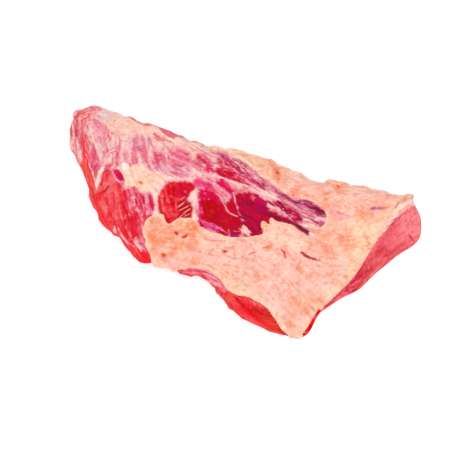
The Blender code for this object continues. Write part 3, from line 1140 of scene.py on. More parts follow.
WINDOW_TISSUES = (
    Patch(T.FILM, 1.4, (153,193, 156,189, 168,180, 186,179, 194,181, 200,192, 199,214, 201,224,
        196,228, 186,226, 176,228, 166,228, 158,220, 152,220, 154,210, 154,202), 1, 0.1,
        light=T.CREAM, dark=T.SKIN),
    Patch(T.SCARLET, 0.9, (158,200, 159,194, 164,186, 167,183, 178,181, 190,182, 194,184, 195,188,
        193,192, 187,198, 187,201, 193,206, 193,210, 191,214, 192,218, 188,219, 180,219, 170,224,
        167,225, 163,217, 160,215, 159,209), 1, -0.8, 0.4, light=T.WARM_PINK, dark=T.DEEP_RED,
        streaks=0.65, flecks=0.25, fleck_tone=T.SKIN),
    Patch(T.CRIMSON, 4, (177,183, 188,183, 193,187, 185,199, 175,191), 0.7, dark=T.BLOOD),
    Patch(T.DEEP_RED, 1.6, (178,203, 186,201, 192,206, 190,217, 184,218, 179,214), 0.85,
        dark=T.BLOOD),
    *strands(T.BLOOD, 1.9, 0.8, -0.35, (173,190, 174,196), (180,186, 180,193), (172,217, 166,223)),
    *strands(T.BLOOD, 1.4, 0.5, -0.2, (168,188, 167,195), (164,196, 164,204)),
    Strand(T.PINK, 1.4, (176,200, 176,208, 178,215), 0.7, 0.2),
    *strands(T.SKIN_PALE, 1.1, 0.8, 0.25, (178,207, 184,202), (179,210.5, 189,205), (181,213.5,
        190,208.5), (179,217, 186,212.5), (184,216.5, 190,213)),
    Strand(T.SKIN_PALE, 0.9, (181,199, 186,196), 0.6, 0.2),
    *strands(T.SKIN, 0.9, 0.65, 0.2, (161,199, 163,203), (162,207, 165,211), (167,199, 169,203),
        (168,209, 171,214)),
    *strands(T.SKIN, 0.8, 0.5, 0.2, (170,193, 171.5,197), (184,189, 186,193)),
    Strand(T.DARK_WINE, 1.6, (166,222, 168,224), 0.9, -0.3),
    Patch(T.CREAM, 1.3, (192,191, 196,189, 200,195, 199,203, 200,214, 199,223, 194,222, 194,214,
        195,208, 192,203, 189,200), 0.8, 0.4, light=T.WHITE_FAT, dark=T.SKIN),
    Patch(T.PINK, 3, (194,181, 203,178, 216,178, 240,190, 243,194, 234,199, 222,199, 202,192,
        196,188), 0.9, 0, 1.4, light=T.SKIN_PALE, dark=T.ROSE, streaks=0.9),
    Patch(T.SKIN, 1.6, (218,191, 226,192, 238,200, 232,203, 227,206, 223,200, 219,196), 0.9, 0,
        1.2, light=T.CREAM, dark=T.PINK, streaks=0.9),
    Patch(T.HOT_PINK, 1.4, (194,180, 200,178, 205,181, 204,187, 198,187, 194,185), 0.85, -0.3,
        light=T.PINK),
    Patch(T.MAGENTA, 1, (216,183, 220,180, 225,182, 234,191, 236,196, 231,194, 226,190), 1, -0.4,
        0.9, light=T.RASPBERRY, dark=T.WINE, flecks=0.4, fleck_tone=T.LILAC),
    Patch(T.MAGENTA, 1.2, (203,183, 209,181, 213,184, 210,188, 205,187), 0.45, -0.2, 1.2,
        light=T.PINK),
    Patch(T.BLOOD, 0.9, (199,191, 203,189, 208,188, 214,193, 223,200, 226,204, 229,200, 236,194,
        242,192, 250,191, 257,194, 261,198, 265,201, 268,207, 276,212, 286,217, 292,220, 294,224,
        288,224, 276,221, 271,218, 271,227, 266,226, 264,224, 263,231, 262,236, 255,238, 235,239,
        208,232, 202,229, 199,223, 199,206), 1, -1, 0.9, light=T.CRIMSON, dark=T.WINE,
        streaks=0.55, flecks=0.25, fleck_tone=T.RASPBERRY),
    Patch(T.DEEP_RED, 4, (204,201, 210,198, 216,201, 221,220, 225,229, 218,228, 205,213), 0.8, 0,
        1.8, dark=T.BLOOD, streaks=0.5, flecks=0.6, fleck_tone=T.MAGENTA),
    Patch(T.MAGENTA, 2.2, (199,191, 211,189, 222,203, 209,199, 202,200, 199,204), 0.75, 0, 1.6,
        light=T.HOT_PINK, dark=T.CRIMSON, flecks=0.5),
    Patch(T.MAGENTA, 1.2, (198,203, 201,202, 202,212, 203,224, 199,222), 0.8, 0, 1.6,
        light=T.ORCHID, dark=T.CRIMSON, streaks=0.9, flecks=0.5),
    Patch(T.MAGENTA, 1.6, (200,221, 206,219, 218,226, 220,233, 211,233, 203,229), 0.85, 0, 1.4,
        light=T.ORCHID, dark=T.WINE, streaks=0.9, flecks=0.6, fleck_tone=T.LILAC),
    Patch(T.WINE, 3, (237,200, 246,196, 256,198, 262,205, 264,214, 262,224, 262,235, 250,237,
        240,228, 238,214), 0.8, light=T.CRIMSON, dark=T.DARK_WINE, streaks=0.4),
    Patch(T.VIOLET, 2.2, (256,198, 262,199, 270,211, 262,213, 257,207), 0.85, light=T.MAGENTA,
        dark=T.WINE),
    Patch(T.WINE, 1.5, (264,207, 276,212, 287,218, 290,222, 280,221, 270,217, 264,214), 0.9,
        dark=T.DARK_WINE),
    Patch(T.VIOLET, 1.2, (228,234, 232,232, 240,232, 242,236, 234,238), 0.9, light=T.ORCHID,
        dark=T.PLUM, streaks=0.7),
    Patch(T.SKIN, 1, (240,227, 243,226, 247,227, 249,231, 246,234, 248,237, 241,237, 239,234,
        241,231), 0.9, 0.5, 1.5, light=T.CREAM, dark=T.ROSE, streaks=0.9),
    Patch(T.PINK, 1.2, (240,217, 243,217, 245,220, 241,222), 0.8, 0.4),
    Patch(T.PINK, 1, (251,194, 254,195, 255,199, 253,201), 0.7),
    *strands(T.FILM, 1.4, 0.9, 0.45, (233,192, 235,197, 236,204, 238,209, 240,215), (220,195,
        227,210, 232,214, 237,216)),
    Strand(T.PINK, 1.1, (229,200, 233,199, 235,202), 0.7, 0.3),
    Patch(T.CRIMSON, 1, (228,202, 233,200, 237,211, 233,213, 229,209), 0.8, -0.3, dark=T.DEEP_RED),
    Strand(T.SKIN, 1, (224,205, 226,210, 230,214), 0.5, 0.2),
    *strands(T.LILAC, 1.1, 0.8, 0.3, (205,222, 212,223, 218,227, 229,235), (203,228, 210,229.5,
        218,233)),
    *strands(T.FILM, 1.1, 0.65, 0.3, (228,229, 228.5,234, 226,237), (233,230, 246,231.5)),
    *strands(T.DARK_WINE, 1.9, 0.55, -0.3, (258,230, 260,223, 262,216), (270,214, 289,221)),
    Strand(T.CREAM, 1, (243,192, 250,190, 258,193), 0.5, 0.2),
)

FAR_TISSUES = (
    Patch(T.PINK, 1.8, (168,151, 172,148, 180,147, 188,151, 191,158, 188,164, 183,168, 176,169,
        170,166, 167,158), 0.95, -0.4, light=T.SKIN, dark=T.ROSE, streaks=0.7),
    Patch(T.LILAC, 1.4, (167,167, 175,168, 184,166, 190,167, 191,173, 184,176, 169,171), 0.9, -0.1,
        light=T.FILM, dark=T.MAUVE),
    Strand(T.DUSK, 1.1, (164,163, 168,168, 175,173, 184,175.5, 187,172), 0.7, -0.3),
    Strand(T.CREAM, 1.8, (165,149, 168,164), 0.7, 0.3),
    Strand(T.CREAM, 3, (170,177, 182,180, 194,178, 206,180), 0.6, 0.3),
    Strand(T.CREAM, 2.4, (188,148, 194,155, 193,162, 198,168, 204,175), 0.5, 0.2),
    Patch(T.ROSE, 1.2, (196,156, 199,153, 205,154, 210,159, 215,164, 212,166, 206,163, 199,161),
        0.95, -0.4, light=T.PINK, dark=T.CRIMSON),
    Patch(T.MAGENTA, 0.9, (204,168, 208,165, 212,167, 215,172, 212,174, 206,172), 0.95, -0.3,
        dark=T.CRIMSON),
    Patch(T.ROSE, 1.2, (193,160, 200,162, 205,168, 203,172, 195,168, 190,163), 0.6,
        light=T.SKIN_PALE, streaks=0.8),
    Patch(T.ROSE, 1, (216,158, 219,157, 223,160, 223,166, 219,165), 0.9, -0.2, dark=T.CRIMSON),
    Patch(T.CRIMSON, 0.9, (215,170, 222,167, 230,168, 236,172, 246,181, 251,185, 244,184, 221,176),
        1, -0.5, 0.7, light=T.HOT_PINK, dark=T.BLOOD),
    Patch(T.RASPBERRY, 1.1, (223,160, 229,159, 239,170, 226,166), 0.9, -0.3, light=T.PINK,
        dark=T.CRIMSON),
    Strand(T.PINK, 1.2, (222,167, 229,166.5, 236,170, 242,175), 0.6, 0.3),
    *strands(T.SKIN, 1, 0.55, 0.2, (224,172, 228,176), (231,170, 236,177), (237,174, 241,181)),
    Strand(T.RASPBERRY, 1.6, (202,178, 207,179, 213,178), 0.8),
    Patch(T.SKIN, 1.6, (207,174, 216,174, 228,180, 242,185, 258,194, 246,191, 232,192, 222,186,
        210,180), 0.75, 0.2, light=T.CREAM, dark=T.PINK),
    *strands(T.CREAM, 2.1, 0.8, 0.55, (210,173, 232,182, 248,187), (246,186, 261,196, 268,203,
        276,208)),
    Patch(T.HEATHER, 1.1, (217,152, 224,153, 231,158, 240,159, 246,163, 251,169, 262,177, 275,189,
        283,196, 281,200, 270,192, 263,189, 251,182, 245,179, 237,170, 234,164, 221,157), 1, -0.5,
        1, light=T.MAUVE, dark=T.DARK_WINE),
    Patch(T.MAGENTA, 1.4, (220,154, 228,156, 236,163, 240,171, 246,178, 240,175, 232,164, 224,159),
        0.5, light=T.PINK),
    Patch(T.MAGENTA, 1.2, (240,166, 246,167, 258,181, 266,189, 260,187, 250,180), 0.5,
        light=T.MAUVE, dark=T.PLUM),
    Patch(T.DUSK, 1.3, (262,180, 269,181, 276,187, 281,193, 275,193, 268,188), 0.8, light=T.SKIN,
        dark=T.PLUM),
    Patch(T.PLUM, 1.1, (274,189, 283,192, 291,197, 299,202, 300,208, 292,204, 277,194), 0.95, -0.4,
        light=T.MAUVE, dark=T.DARK_WINE, streaks=0.5),
    Patch(T.WINE, 1, (266,199, 274,201, 281,200, 288,204, 299,213, 304,220, 301,223, 296,222,
        290,217, 277,207, 269,203), 1, -0.5, 0.7, light=T.DUSK, dark=T.DARK_WINE, streaks=0.5),
    Patch(T.PLUM, 1, (290,200, 297,199, 309,200, 315,203, 324,210, 326,214, 327,218, 322,217,
        310,214, 304,210, 298,208, 293,205), 1, -0.4, 1.4, light=T.DUSK, dark=T.DARK_WINE,
        streaks=0.7),
    Strand(T.DARK_WINE, 2.2, (318,207, 323,212, 326,217, 319,216), 0.7, -0.3),
    Patch(T.DUSK, 1.2, (300,212, 318,216, 326,218, 324,224, 319,226, 313,223), 0.95, -0.2,
        light=T.FILM, dark=T.PLUM, streaks=1),
    Patch(T.SKIN_PALE, 1.6, (297,220, 305,219, 313,223, 320,226, 318,232, 309,231), 0.6,
        light=T.CREAM, dark=T.LILAC),
    *strands(T.CREAM, 1.7, 0.8, 0.45, (246,168, 252,173, 259,181, 275,196), (267,189, 276,196,
        283,203, 290,208, 299,212, 308,215)),
    Strand(T.CREAM, 1.5, (254,184, 262,190, 287,204), 0.9, 0.45),
    *strands(T.CREAM, 1.4, 0.7, 0.35, (276,197, 288,201, 297,208, 306,212), (262,196, 270,200,
        276,206, 284,213), (305,218, 320,224.5)),
    *strands(T.SKIN_PALE, 1.1, 0.7, 0.3, (219,158, 228,163, 236,172), (236,160, 245,167, 252,176,
        262,184), (244,163, 252,171, 258,178, 266,183), (297,205, 314,213)),
    Strand(T.CREAM, 1.2, (230,157, 238,163, 243,170, 250,178), 0.9, 0.35),
    *strands(T.LILAC, 1, 0.8, 0.3, (264,184, 272,190, 280,197, 288,201, 296,206), (300,216,
        307,218, 315,222)),
    *strands(T.LILAC, 1.1, 0.6, 0.25, (298,203, 305,207, 313,210, 320,214), (309,213.5, 325,219.5),
        fray=0.3),
    Strand(T.DARK_WINE, 1.1, (302,216, 318,223), 0.6, -0.2),
    Strand(T.CREAM, 1.1, (303,214.5, 322,221), 0.6, 0.3, fray=0.5),
)

WALL_TISSUES = (
    Patch(T.WARM_PINK, 1.5, (170,268, 184,266, 192,270, 207,271, 216,277, 226,288, 228,300,
        220,303, 205,290, 185,286, 168,280), light=T.CORAL, dark=T.SCARLET),
    Patch(T.RED, 1.2, (222,286, 232,291, 250,295, 265,304, 270,309, 279,323, 285,331, 292,334,
        292,342, 270,342, 250,334, 232,322, 220,304), light=T.CORAL, dark=T.SCARLET, streaks=0.5,
        flecks=0.4, fleck_tone=T.DEEP_RED),
    Patch(T.CORAL, 3, (228,292, 240,296, 250,302, 256,312, 246,312, 228,298), 0.55,
        dark=T.BRIGHT_RED, flecks=0.4, fleck_tone=T.PINK),
    Patch(T.WARM_PINK, 3, (248,297, 258,300, 268,307, 272,313, 264,312, 254,306), 0.6,
        light=T.PINK, dark=T.CRIMSON, streaks=0.9),
    Patch(T.BRICK, 3, (252,306, 270,310, 283,329, 290,336, 276,335, 262,326, 250,313), 0.85,
        light=T.CORAL, dark=T.DEEP_RED, flecks=0.5, fleck_tone=T.DEEP_RED),
    Patch(T.SCARLET, 2, (236,298, 246,301, 254,308, 258,318, 248,313, 240,306), 0.6,
        dark=T.DEEP_RED),
    Patch(T.CORAL, 2, (246,319, 262,324, 276,330, 286,336, 276,342, 254,334), 0.7),
    Strand(T.BRIGHT_RED, 3, (233,296, 241,303, 257,320, 268,326), 0.9, -0.9),
    Strand(T.BLOOD, 1.4, (234,297, 257,321), 0.7, -0.5),
    Patch(T.PINK, 0.8, (182,270, 190,267, 200,268.5, 208,269.5, 213,273.5, 219,278, 225,285,
        227.5,290, 222,290.5, 216,284.5, 208,278, 200,273, 190,273), 0.8, 0.3, light=T.FILM,
        dark=T.ROSE, streaks=0.9, flecks=0.4, fleck_tone=T.CORAL),
    Patch(T.LILAC, 1.3, (207,270, 213,272, 217,277, 212,278, 208,274), 0.8),
    Patch(T.BRIGHT_RED, 0.8, (321,304, 332,308, 320,330, 306,348, 296,344, 300,334, 313,313),
        dark=T.DEEP_RED, streaks=0.7),
    Patch(T.RED, 0.8, (172,270, 178,268, 184,266.5, 183,270, 177,272.5)),
    Strand(T.BLOOD, 1.5, (176,270, 183,268), 0.7),
    Strand(T.CREAM, 1, (176,271.5, 181,271), 0.6),
)

CUT_TISSUES = (
    Patch(T.CUT, 3, (300,330, 318,306, 345,280, 372,250, 392,220, 412,206, 430,206, 430,245,
        395,262, 365,296, 322,316, 306,345), fray=0.3, light=T.CUT_PALE, dark=T.CUT_DARK,
        streaks=0.25),
    Patch(T.CUT_PALE, 5, (400,215, 412,206, 424,212, 424,238, 412,240, 400,232), 0.8, 0, 0.3),
    Patch(T.CUT_DARK, 5, (376,250, 392,242, 404,246, 392,258, 376,270, 366,276, 364,266), 0.3, 0,
        0.3),
    Patch(T.CUT_DARK, 5, (326,300, 346,278, 362,264, 372,270, 356,292, 322,309), 0.8, 0, 0.4,
        light=T.CUT, dark=T.BLOOD, streaks=0.9, flecks=0.35, fleck_tone=T.CUT_PALE),
    Patch(T.CUT_DARK, 4, (362,264, 378,246, 388,246, 396,252, 384,262, 372,270), 0.35, 0, 0.4,
        dark=T.BLOOD),
    Patch(T.FAT_EDGE, 0.9, (378,236, 390,214, 402,200, 412,190, 417,200, 414,203, 401,211, 391,222,
        388,228, 384,233), fray=0.3),
    Patch(T.FILM, 1, (387,229, 391,222, 401,211, 407,207, 413,202, 424,206, 423,211, 413,206,
        408,209, 396,218, 391,225), 0.9, 0, 0.4, light=T.CREAM, dark=T.SKIN),
    Strand(T.RASPBERRY, 1.2, (389,228, 395,221, 402,215.5, 410,211), 0.8),
    Strand(T.CUT_PALE, 1.6, (391,230, 398,222, 406,217), 0.6),
    Strand(T.SCARLET, 2.6, (409,235, 414,241), 0.9, -0.2),
    *strands(T.BLOOD, 1.4, 0.8, -0.3, (411,236, 412,240), (340,286, 344,283, 347,279), (349,285,
        353,281, 358,279), (344,291, 355,286), (334,296, 338,291, 341,290), (351,273, 356,271,
        360,273)),
    *strands(T.BLOOD, 1.7, 0.65, -0.35, (385,249, 390,252, 396,249), (383,257, 386,255, 390,258)),
    Strand(T.DARK_WINE, 2.2, (349,278, 352,276, 354,277), 0.7, -0.4),
    *strands(T.BLOOD, 1.2, 0.55, -0.25, (360,266, 365,264, 367,268), (347,281, 351,283)),
    *strands(T.CUT_PALE, 1.1, 0.7, 0.1, (341,288, 346,286, 350,281), (349,289, 355,283, 361,280),
        (337,299, 352,291), (354,276, 359,277, 363,274)),
    *strands(T.BLOOD, 1.5, 0.65, -0.3, (343,284, 346,288), (338,292, 342,294)),
    *strands(T.CUT_PALE, 1.2, 0.4, 0.1, (378,262, 388,250, 400,240, 412,228), (366,270, 374,262,
        384,254)),
    Strand(T.CUT_PALE, 1.6, (360,287, 372,274, 390,257, 410,244), 0.35),
    Patch(T.BRIGHT_RED, 0.8, (322,306, 318,313, 316,320, 306,336, 302,340, 300,337, 305,331,
        313,317), 0.9, 0, 0.3, dark=T.BLOOD),
)

FAT_AREAS = (
    Patch(T.FAT_ORANGE, 6, (146,222, 158,217, 172,226, 190,222, 200,230, 196,244, 162,256,
        148,248), 0.9, light=T.FAT_PALE, dark=T.FAT_GLOW, streaks=0.35),
    Patch(T.FAT_PINK, 8, (205,240, 240,242, 280,240, 310,250, 340,250, 345,275, 320,300, 300,320,
        280,305, 255,285, 225,270, 205,262), 0.8, light=T.FAT_PALE, streaks=0.5),
    Patch(T.FAT_YELLOW, 5, (210,268, 244,284, 256,296, 248,298, 220,282), 0.75),
    Patch(T.FAT_YELLOW, 7, (352,214, 376,214, 400,204, 394,220, 366,256, 348,262, 346,240), 0.95,
        light=T.FAT_EDGE, streaks=0.7),
    Patch(T.FAT_PALE, 5, (258,226, 270,222, 288,224, 300,232, 312,240, 300,250, 266,240), 0.7,
        light=T.FAT_EDGE),
    Patch(T.FAT_YELLOW, 4, (212,142, 230,147, 250,151, 268,160, 276,170, 262,172, 236,155), 0.5,
        light=T.FAT_EDGE),
    Patch(T.FAT_PINK, 5, (284,176, 306,182, 360,190, 372,198, 350,204, 320,200, 300,192), 0.6,
        dark=T.FAT_ORANGE),
    Patch(T.FAT_ORANGE, 4, (322,204, 350,204, 380,200, 390,206, 362,214, 336,220, 328,212), 0.35,
        dark=T.FAT_GLOW, streaks=0.3),
    Patch(T.FAT_ORANGE, 5, (326,222, 350,226, 352,246, 336,258, 322,252), 0.35, dark=T.FAT_GLOW,
        streaks=0.5),
    Patch(T.FAT_ORANGE, 5, (286,296, 306,296, 318,304, 308,318, 296,312), 0.5, dark=T.FAT_GLOW,
        streaks=0.4),
    Patch(T.FAT_GLOW, 3, (333,181, 342,181, 350,186, 344,190, 334,188), 0.6),
    Patch(T.FAT_GLOW, 2.5, (340,236, 350,236, 352,247, 342,250), 0.45),
    Patch(T.FAT_GLOW, 2.5, (263,159, 274,162, 276,167, 266,166), 0.45),
    Patch(T.FAT_GLOW, 3, (178,224, 192,221, 199,229, 197,240, 192,230, 184,228), 0.7),
    Patch(T.FAT_ORANGE, 3, (290,193, 300,193, 318,202, 300,197, 290,197), 0.8),
    Patch(T.SMEAR, 3, (306,224, 314,226, 318,236, 318,246, 309,242, 305,232), 0.35, light=T.LILAC),
    Patch(T.LILAC, 3.5, (324,208, 334,206, 350,212, 356,217, 344,220, 330,216), 0.45),
    Patch(T.LILAC, 3, (364,207, 376,205, 389,207, 386,211, 370,212), 0.6),
    # The pale band along the fat's cut edge and the yellow band inside it: partly the fat's own
    # colour, partly a painted highlight along the rounded edge.
    Patch(T.FAT_EDGE, 3.5, (392,214, 408,199, 413,204, 400,217, 376,250, 330,300, 316,320, 305,340,
        298,336, 308,316, 322,296, 356,260), 0.6),
    Patch(T.FAT_YELLOW, 2.5, (385,226, 396,214, 402,212, 392,226, 366,262, 346,282, 332,297,
        326,296, 344,274, 362,254), 0.5),
    # The pale band along the fat's lower edge over the near wall: partly the fat's own rim, partly
    # a painted highlight along the rounded edge.
    Patch(T.FAT_EDGE, 1.6, (222,281, 232,288, 244,291, 256,296, 268,304, 278,316, 290,334, 284,334,
        274,318, 264,308, 250,299, 236,297, 224,290), 0.8),
)

FAT_MARKS = (
    Patch(T.FILM, 1.3, (288,219, 296,221, 304,224, 312,229, 315,236, 310,238, 303,231, 289,223),
        0.9, light=T.CREAM, dark=T.LILAC, streaks=1),
    Patch(T.FAT_GLOW, 2.2, (147,234, 152,234, 154,241, 149,241), 0.6),
    Patch(T.FAT_GLOW, 2, (168,252, 174,252, 175,257, 169,257), 0.5),
    Patch(T.FAT_GLOW, 2.2, (273,167, 279,168, 281,174, 278,179, 273,172), 0.75, -0.15),
    Strand(T.FAT_GLOW, 2.6, (286,194, 294,193, 303,194, 312,198, 320,203, 327,210), 0.35, 0.1,
        fray=1.2),
    Strand(T.CORAL, 2.2, (293,196, 296,194, 300,195), 0.7, fray=0.8),
    Strand(T.CORAL, 1.8, (302,196, 305,195, 308,197), 0.6, fray=0.8),
    *strands(T.FAT_GLOW, 6.5, 0.6, 0, (176,232.5), (163,255.5)),
    Strand(T.FAT_GLOW, 5, (182,237, 188,235), 0.45),
    Strand(T.SCARLET, 4, (176,233, 177,234), 1, -0.2),
    Strand(T.SCARLET, 3.2, (182,238, 185,237, 187,235), 1, -0.2),
    Strand(T.BRIGHT_RED, 4.6, (163,256, 164,256), 1, -0.2),
    *strands(T.RUST, 1.2, 0.5, -0.15, (200,237, 208,239.5, 218,241, 227,240), (196,236, 197,237),
        (222,253, 232,258, 239,259), (264,251, 268,248, 273,247), (302,258, 300,263, 301,269),
        (335,257), (349,241), (342,278), (295,264, 302,274), (301,173), (341,208, 343,209)),
    Strand(T.FAT_EDGE, 1.6, (201,240, 210,243, 222,244), 0.5, 0.3),
    *strands(T.BRICK, 2.8, 0.9, -0.1, (224,251, 226,252), (277,172, 278,173)),
    *strands(T.RUST, 1.6, 0.65, -0.15, (248,255, 252,253, 256,252), (262,248, 271,246), (333,253,
        334,255), (279,178, 278,180)),
    Strand(T.RUST, 1.4, (278,227, 279,231), 0.4, -0.1),
    Strand(T.SCARLET, 2.6, (281,249, 284,253, 285,258), 0.95),
    *strands(T.BRICK, 1.7, 0.6, 0, (283,252, 285,256), (306,256, 310,258), fray=0.3),
    Strand(T.RUST, 1.3, (286,249.5), 0.7, -0.1),
    Strand(T.WINE_BROWN, 3.4, (301,252, 311,258, 319,260), 0.9, -0.15, fray=0.7),
    Strand(T.RUST, 2, (338,186, 339,187), 0.85, -0.15),
    Strand(T.PLUM, 3.4, (371,209, 377,208, 384,209), 0.7, -0.2),
    Strand(T.DUSK, 1.8, (336,211, 342,214, 350,216), 0.45, -0.1),
    Patch(T.DARK_WINE, 0.8, (286.5,220, 291,220.5, 303,227.5, 308,232, 308,235.5, 301,231.5,
        290,225), 1, -0.15, light=T.WINE, streaks=0.8),
    Strand(T.DUSK, 1.3, (309,235, 310,236), 0.8, -0.2),
    *strands(T.FAT_EDGE, 2.3, 0.4, 0.4, (214,262, 240,276, 252,288), (320,240, 334,244, 344,256)),
    Strand(T.FAT_EDGE, 2.6, (270,258, 284,272, 292,288), 0.35, 0.4),
)

FAT_BORDER = (
    151,258, 148,250, 145,245, 145,240, 143,236, 142,229, 144.5,225, 145,221, 150,216, 160,214,
    163,217, 165,221, 167,223.5, 170,223, 178,218.5, 182,217.5, 186,218, 190,218, 195,220,
    198,222.5, 200,226, 208,231, 214,232.5, 220,234.5, 235,237, 255,235.5, 262,234, 263,230,
    261.5,226, 261.5,222.5, 264,221, 271,225.5, 270,220, 271,217.5, 276,220, 281,221.5, 287,222.5,
    291,220.5, 296,222.5, 302,223.5, 308,225, 314,225.5, 319,227, 324,224.5, 327,218, 326,212,
    322,206.5, 316,202, 308,198.5, 298,197, 290,194.5, 282,190, 275,184, 262,175, 240,158, 228,151,
    218,148, 209,147, 206,130, 320,140, 440,180, 440,260, 350,312, 326,309, 318.5,311.5, 314,317,
    308.5,326, 303,334, 298,345, 290,343, 287.5,335.5, 285,333, 279,325, 270,311, 265,306,
    250,297.5, 240,295.5, 232,293, 226,289, 224,285, 218,278, 207,270, 200,269, 190,268, 185,269.5,
    178,270.5, 172,276, 160,276, 151,270, 152,264,
)


# ---------- finishes


def add_group(
    name: str, inputs: dict[str, float | tuple[float, ...]], outputs: tuple[str, ...]
) -> tuple[bpy.types.NodeTree, bpy.types.NodeInputs, bpy.types.NodeOutputs]:
    """Starts a shader node group whose first input is a vector.

    Args:
        name: Name of the group.
        inputs: First values of the other inputs, numbers or colours, by name.
        outputs: Names of the outputs; the one called Color is a colour.

    Returns:
        The group, the sockets to put its results on, and the sockets that give its inputs.
    """
    group = bpy.data.node_groups.new(name, "ShaderNodeTree")
    add = group.interface.new_socket
    add(name="Vector", in_out="INPUT", socket_type="NodeSocketVector")
    for label, value in inputs.items():
        kind = "NodeSocketFloat" if isinstance(value, float) else "NodeSocketColor"
        add(name=label, in_out="INPUT", socket_type=kind).default_value = value
    for label in outputs:
        kind = "NodeSocketColor" if label == "Color" else "NodeSocketFloat"
        add(name=label, in_out="OUTPUT", socket_type=kind)
    given, results = group.nodes.new("NodeGroupInput"), group.nodes.new("NodeGroupOutput")
    return group, results.inputs, given.outputs


@dataclass
class Wiring:
    """Adds and joins the nodes of one tree."""

    tree: bpy.types.NodeTree

    def add(self, kind: str, **settings: object) -> bpy.types.Node:
        """Adds a node and sets its own settings.

        Args:
            kind: Blender's name for the kind of node.
            **settings: Values of its own settings.

        Returns:
            The node.
        """
        node = self.tree.nodes.new(kind)
        for key, value in settings.items():
            setattr(node, key, value)
        return node

    def join(self, source: object, target: Socket) -> None:
        """Links a socket to a socket, or sets a plain value on it.

        Args:
            source: A socket or a value.
            target: The socket that takes it.
        """
        if isinstance(source, Socket):
            self.tree.links.new(source, target)
        else:
            target.default_value = source

    def feed(self, node: bpy.types.Node, **values: object) -> bpy.types.Node:
        """Joins or sets inputs of a node; underscores in their names stand for spaces.

        Args:
            node: The node.
            **values: Sockets or values by input name.

        Returns:
            The same node.
        """
        for key, value in values.items():
            self.join(value, node.inputs[key.replace("_", " ")])
        return node

    def noise(self, vector: Socket, scale: object, detail: float = 3.0,
              distortion: float = 0.0) -> Socket:
        """Adds a noise texture and gives its value."""
        node = self.feed(self.add("ShaderNodeTexNoise"), Vector=vector, Scale=scale,
                         Detail=detail, Distortion=distortion)
        return node.outputs["Fac"]

    def chain(self, kind: str, values: tuple[object, ...], **settings: object) -> Socket:
        """Adds a node, feeds its inputs in their order and gives its first output.

        Args:
            kind: Blender's name for the kind of node.
            values: Sockets or values, in the order of the inputs.
            **settings: Values of its own settings.

        Returns:
            The output.
        """
        node = self.add(kind, **settings)
        for value, target in zip(values, node.inputs):
            self.join(value, target)
        return node.outputs[0]

    def math(self, operation: str, *values: object) -> Socket:
        """Adds a math node and gives its value."""
        return self.chain("ShaderNodeMath", values, operation=operation)

    def ramp(self, value: object, start: float, end: float, low: object = 0.0,
             high: object = 1.0) -> Socket:
        """Maps a value from start..end to low..high smoothly."""
        values = (value, start, end, low, high)
        return self.chain("ShaderNodeMapRange", values, interpolation_type="SMOOTHSTEP")

    def blend(self, share: object, low: object, high: object, way: str = "MIX") -> Socket:
        """Mixes two colours by a share.

        Args:
            share: Share of the second colour.
            low: The first colour.
            high: The second colour.
            way: How they mix.

        Returns:
            The mixed colour.
        """
        node = self.add("ShaderNodeMix", data_type="RGBA", blend_type=way)
        sockets = {s.identifier: s for s in (*node.inputs, *node.outputs)}
        for value, key in ((share, "Factor_Float"), (low, "A_Color"), (high, "B_Color")):
            self.join(value, sockets[key])
        return sockets["Result_Color"]

    def attribute(self, name: str, output: str) -> Socket:
        """Reads what the mesh holds under a name."""
        node = self.add("ShaderNodeAttribute", attribute_type="GEOMETRY", attribute_name=name)
        return node.outputs[output]

    def group(self, group: bpy.types.NodeTree, **values: object) -> bpy.types.Node:
        """Places a node group and feeds its inputs."""
        return self.feed(self.add("ShaderNodeGroup", node_tree=group), **values)


class TissueGroups:
    """The node groups that the lean and the fat share."""

    def __init__(self) -> None:
        """Builds each group once."""
        self.fine_grain = self._fine_grain()
        self.mottle = self._mottle()
        self.wet_gloss = self._wet_gloss()

    def _fine_grain(self) -> bpy.types.NodeTree:
        """Fine specks and strands between the points of the mesh.

        Returns:
            The group.
        """
        inputs = {"Grain": 900.0, "Fibre": 0.5, "Fibre Share": 0.5}
        group, results, given = add_group("fine_grain", inputs, ("Height",))
        w = Wiring(group)
        fine = w.noise(given["Vector"], given["Grain"], 4.0, 0.4)
        coarse = w.noise(given["Vector"], w.math("MULTIPLY", given["Grain"], 0.3))
        grain = w.math("MULTIPLY_ADD", fine, 0.6, w.math("MULTIPLY", coarse, 0.4))
        mixed = w.add("ShaderNodeMix", data_type="FLOAT")
        w.join(given["Fibre Share"], mixed.inputs[0])
        w.join(grain, mixed.inputs[2])
        w.join(given["Fibre"], mixed.inputs[3])
        w.join(mixed.outputs[0], results["Height"])
        return group

    def _mottle(self) -> bpy.types.NodeTree:
        """Lightens a colour in soft blotches and deepens it between them.

        Returns:
            The group.
        """
        inputs = {"Size": 160.0, "Color": (0.8, 0.5, 0.4, 1.0), "Light": (1.0, 0.8, 0.7, 1.0),
                  "Deep": (0.8, 0.5, 0.5, 1.0), "Light Share": 0.2, "Deep Share": 0.2}
        group, results, given = add_group("mottle", inputs, ("Color",))
        w = Wiring(group)
        value = w.noise(given["Vector"], given["Size"], 5.0, 0.6)
        light = w.math("MULTIPLY", w.ramp(value, 0.5, 0.68), given["Light Share"])
        deep = w.math("MULTIPLY", w.ramp(value, 0.5, 0.32), given["Deep Share"])
        colour = w.blend(light, given["Color"], given["Light"])
        w.join(w.blend(deep, colour, given["Deep"], "MULTIPLY"), results["Color"])
        return group

    def _wet_gloss(self) -> bpy.types.NodeTree:
        """Roughness and strength of a broken wet film.

        Returns:
            The group.
        """
        inputs = {"Size": 120.0, "Dry": 0.6, "Wet": 0.3, "Film": 0.3}
        group, results, given = add_group("wet_gloss", inputs, ("Roughness", "Coat"))
        w = Wiring(group)
        patch = w.ramp(w.noise(given["Vector"], given["Size"], 4.0, 0.8), 0.52, 0.66)
        w.join(w.ramp(patch, 0.0, 1.0, given["Dry"], given["Wet"]), results["Roughness"])
        w.join(w.math("MULTIPLY", patch, given["Film"]), results["Coat"])
        return group


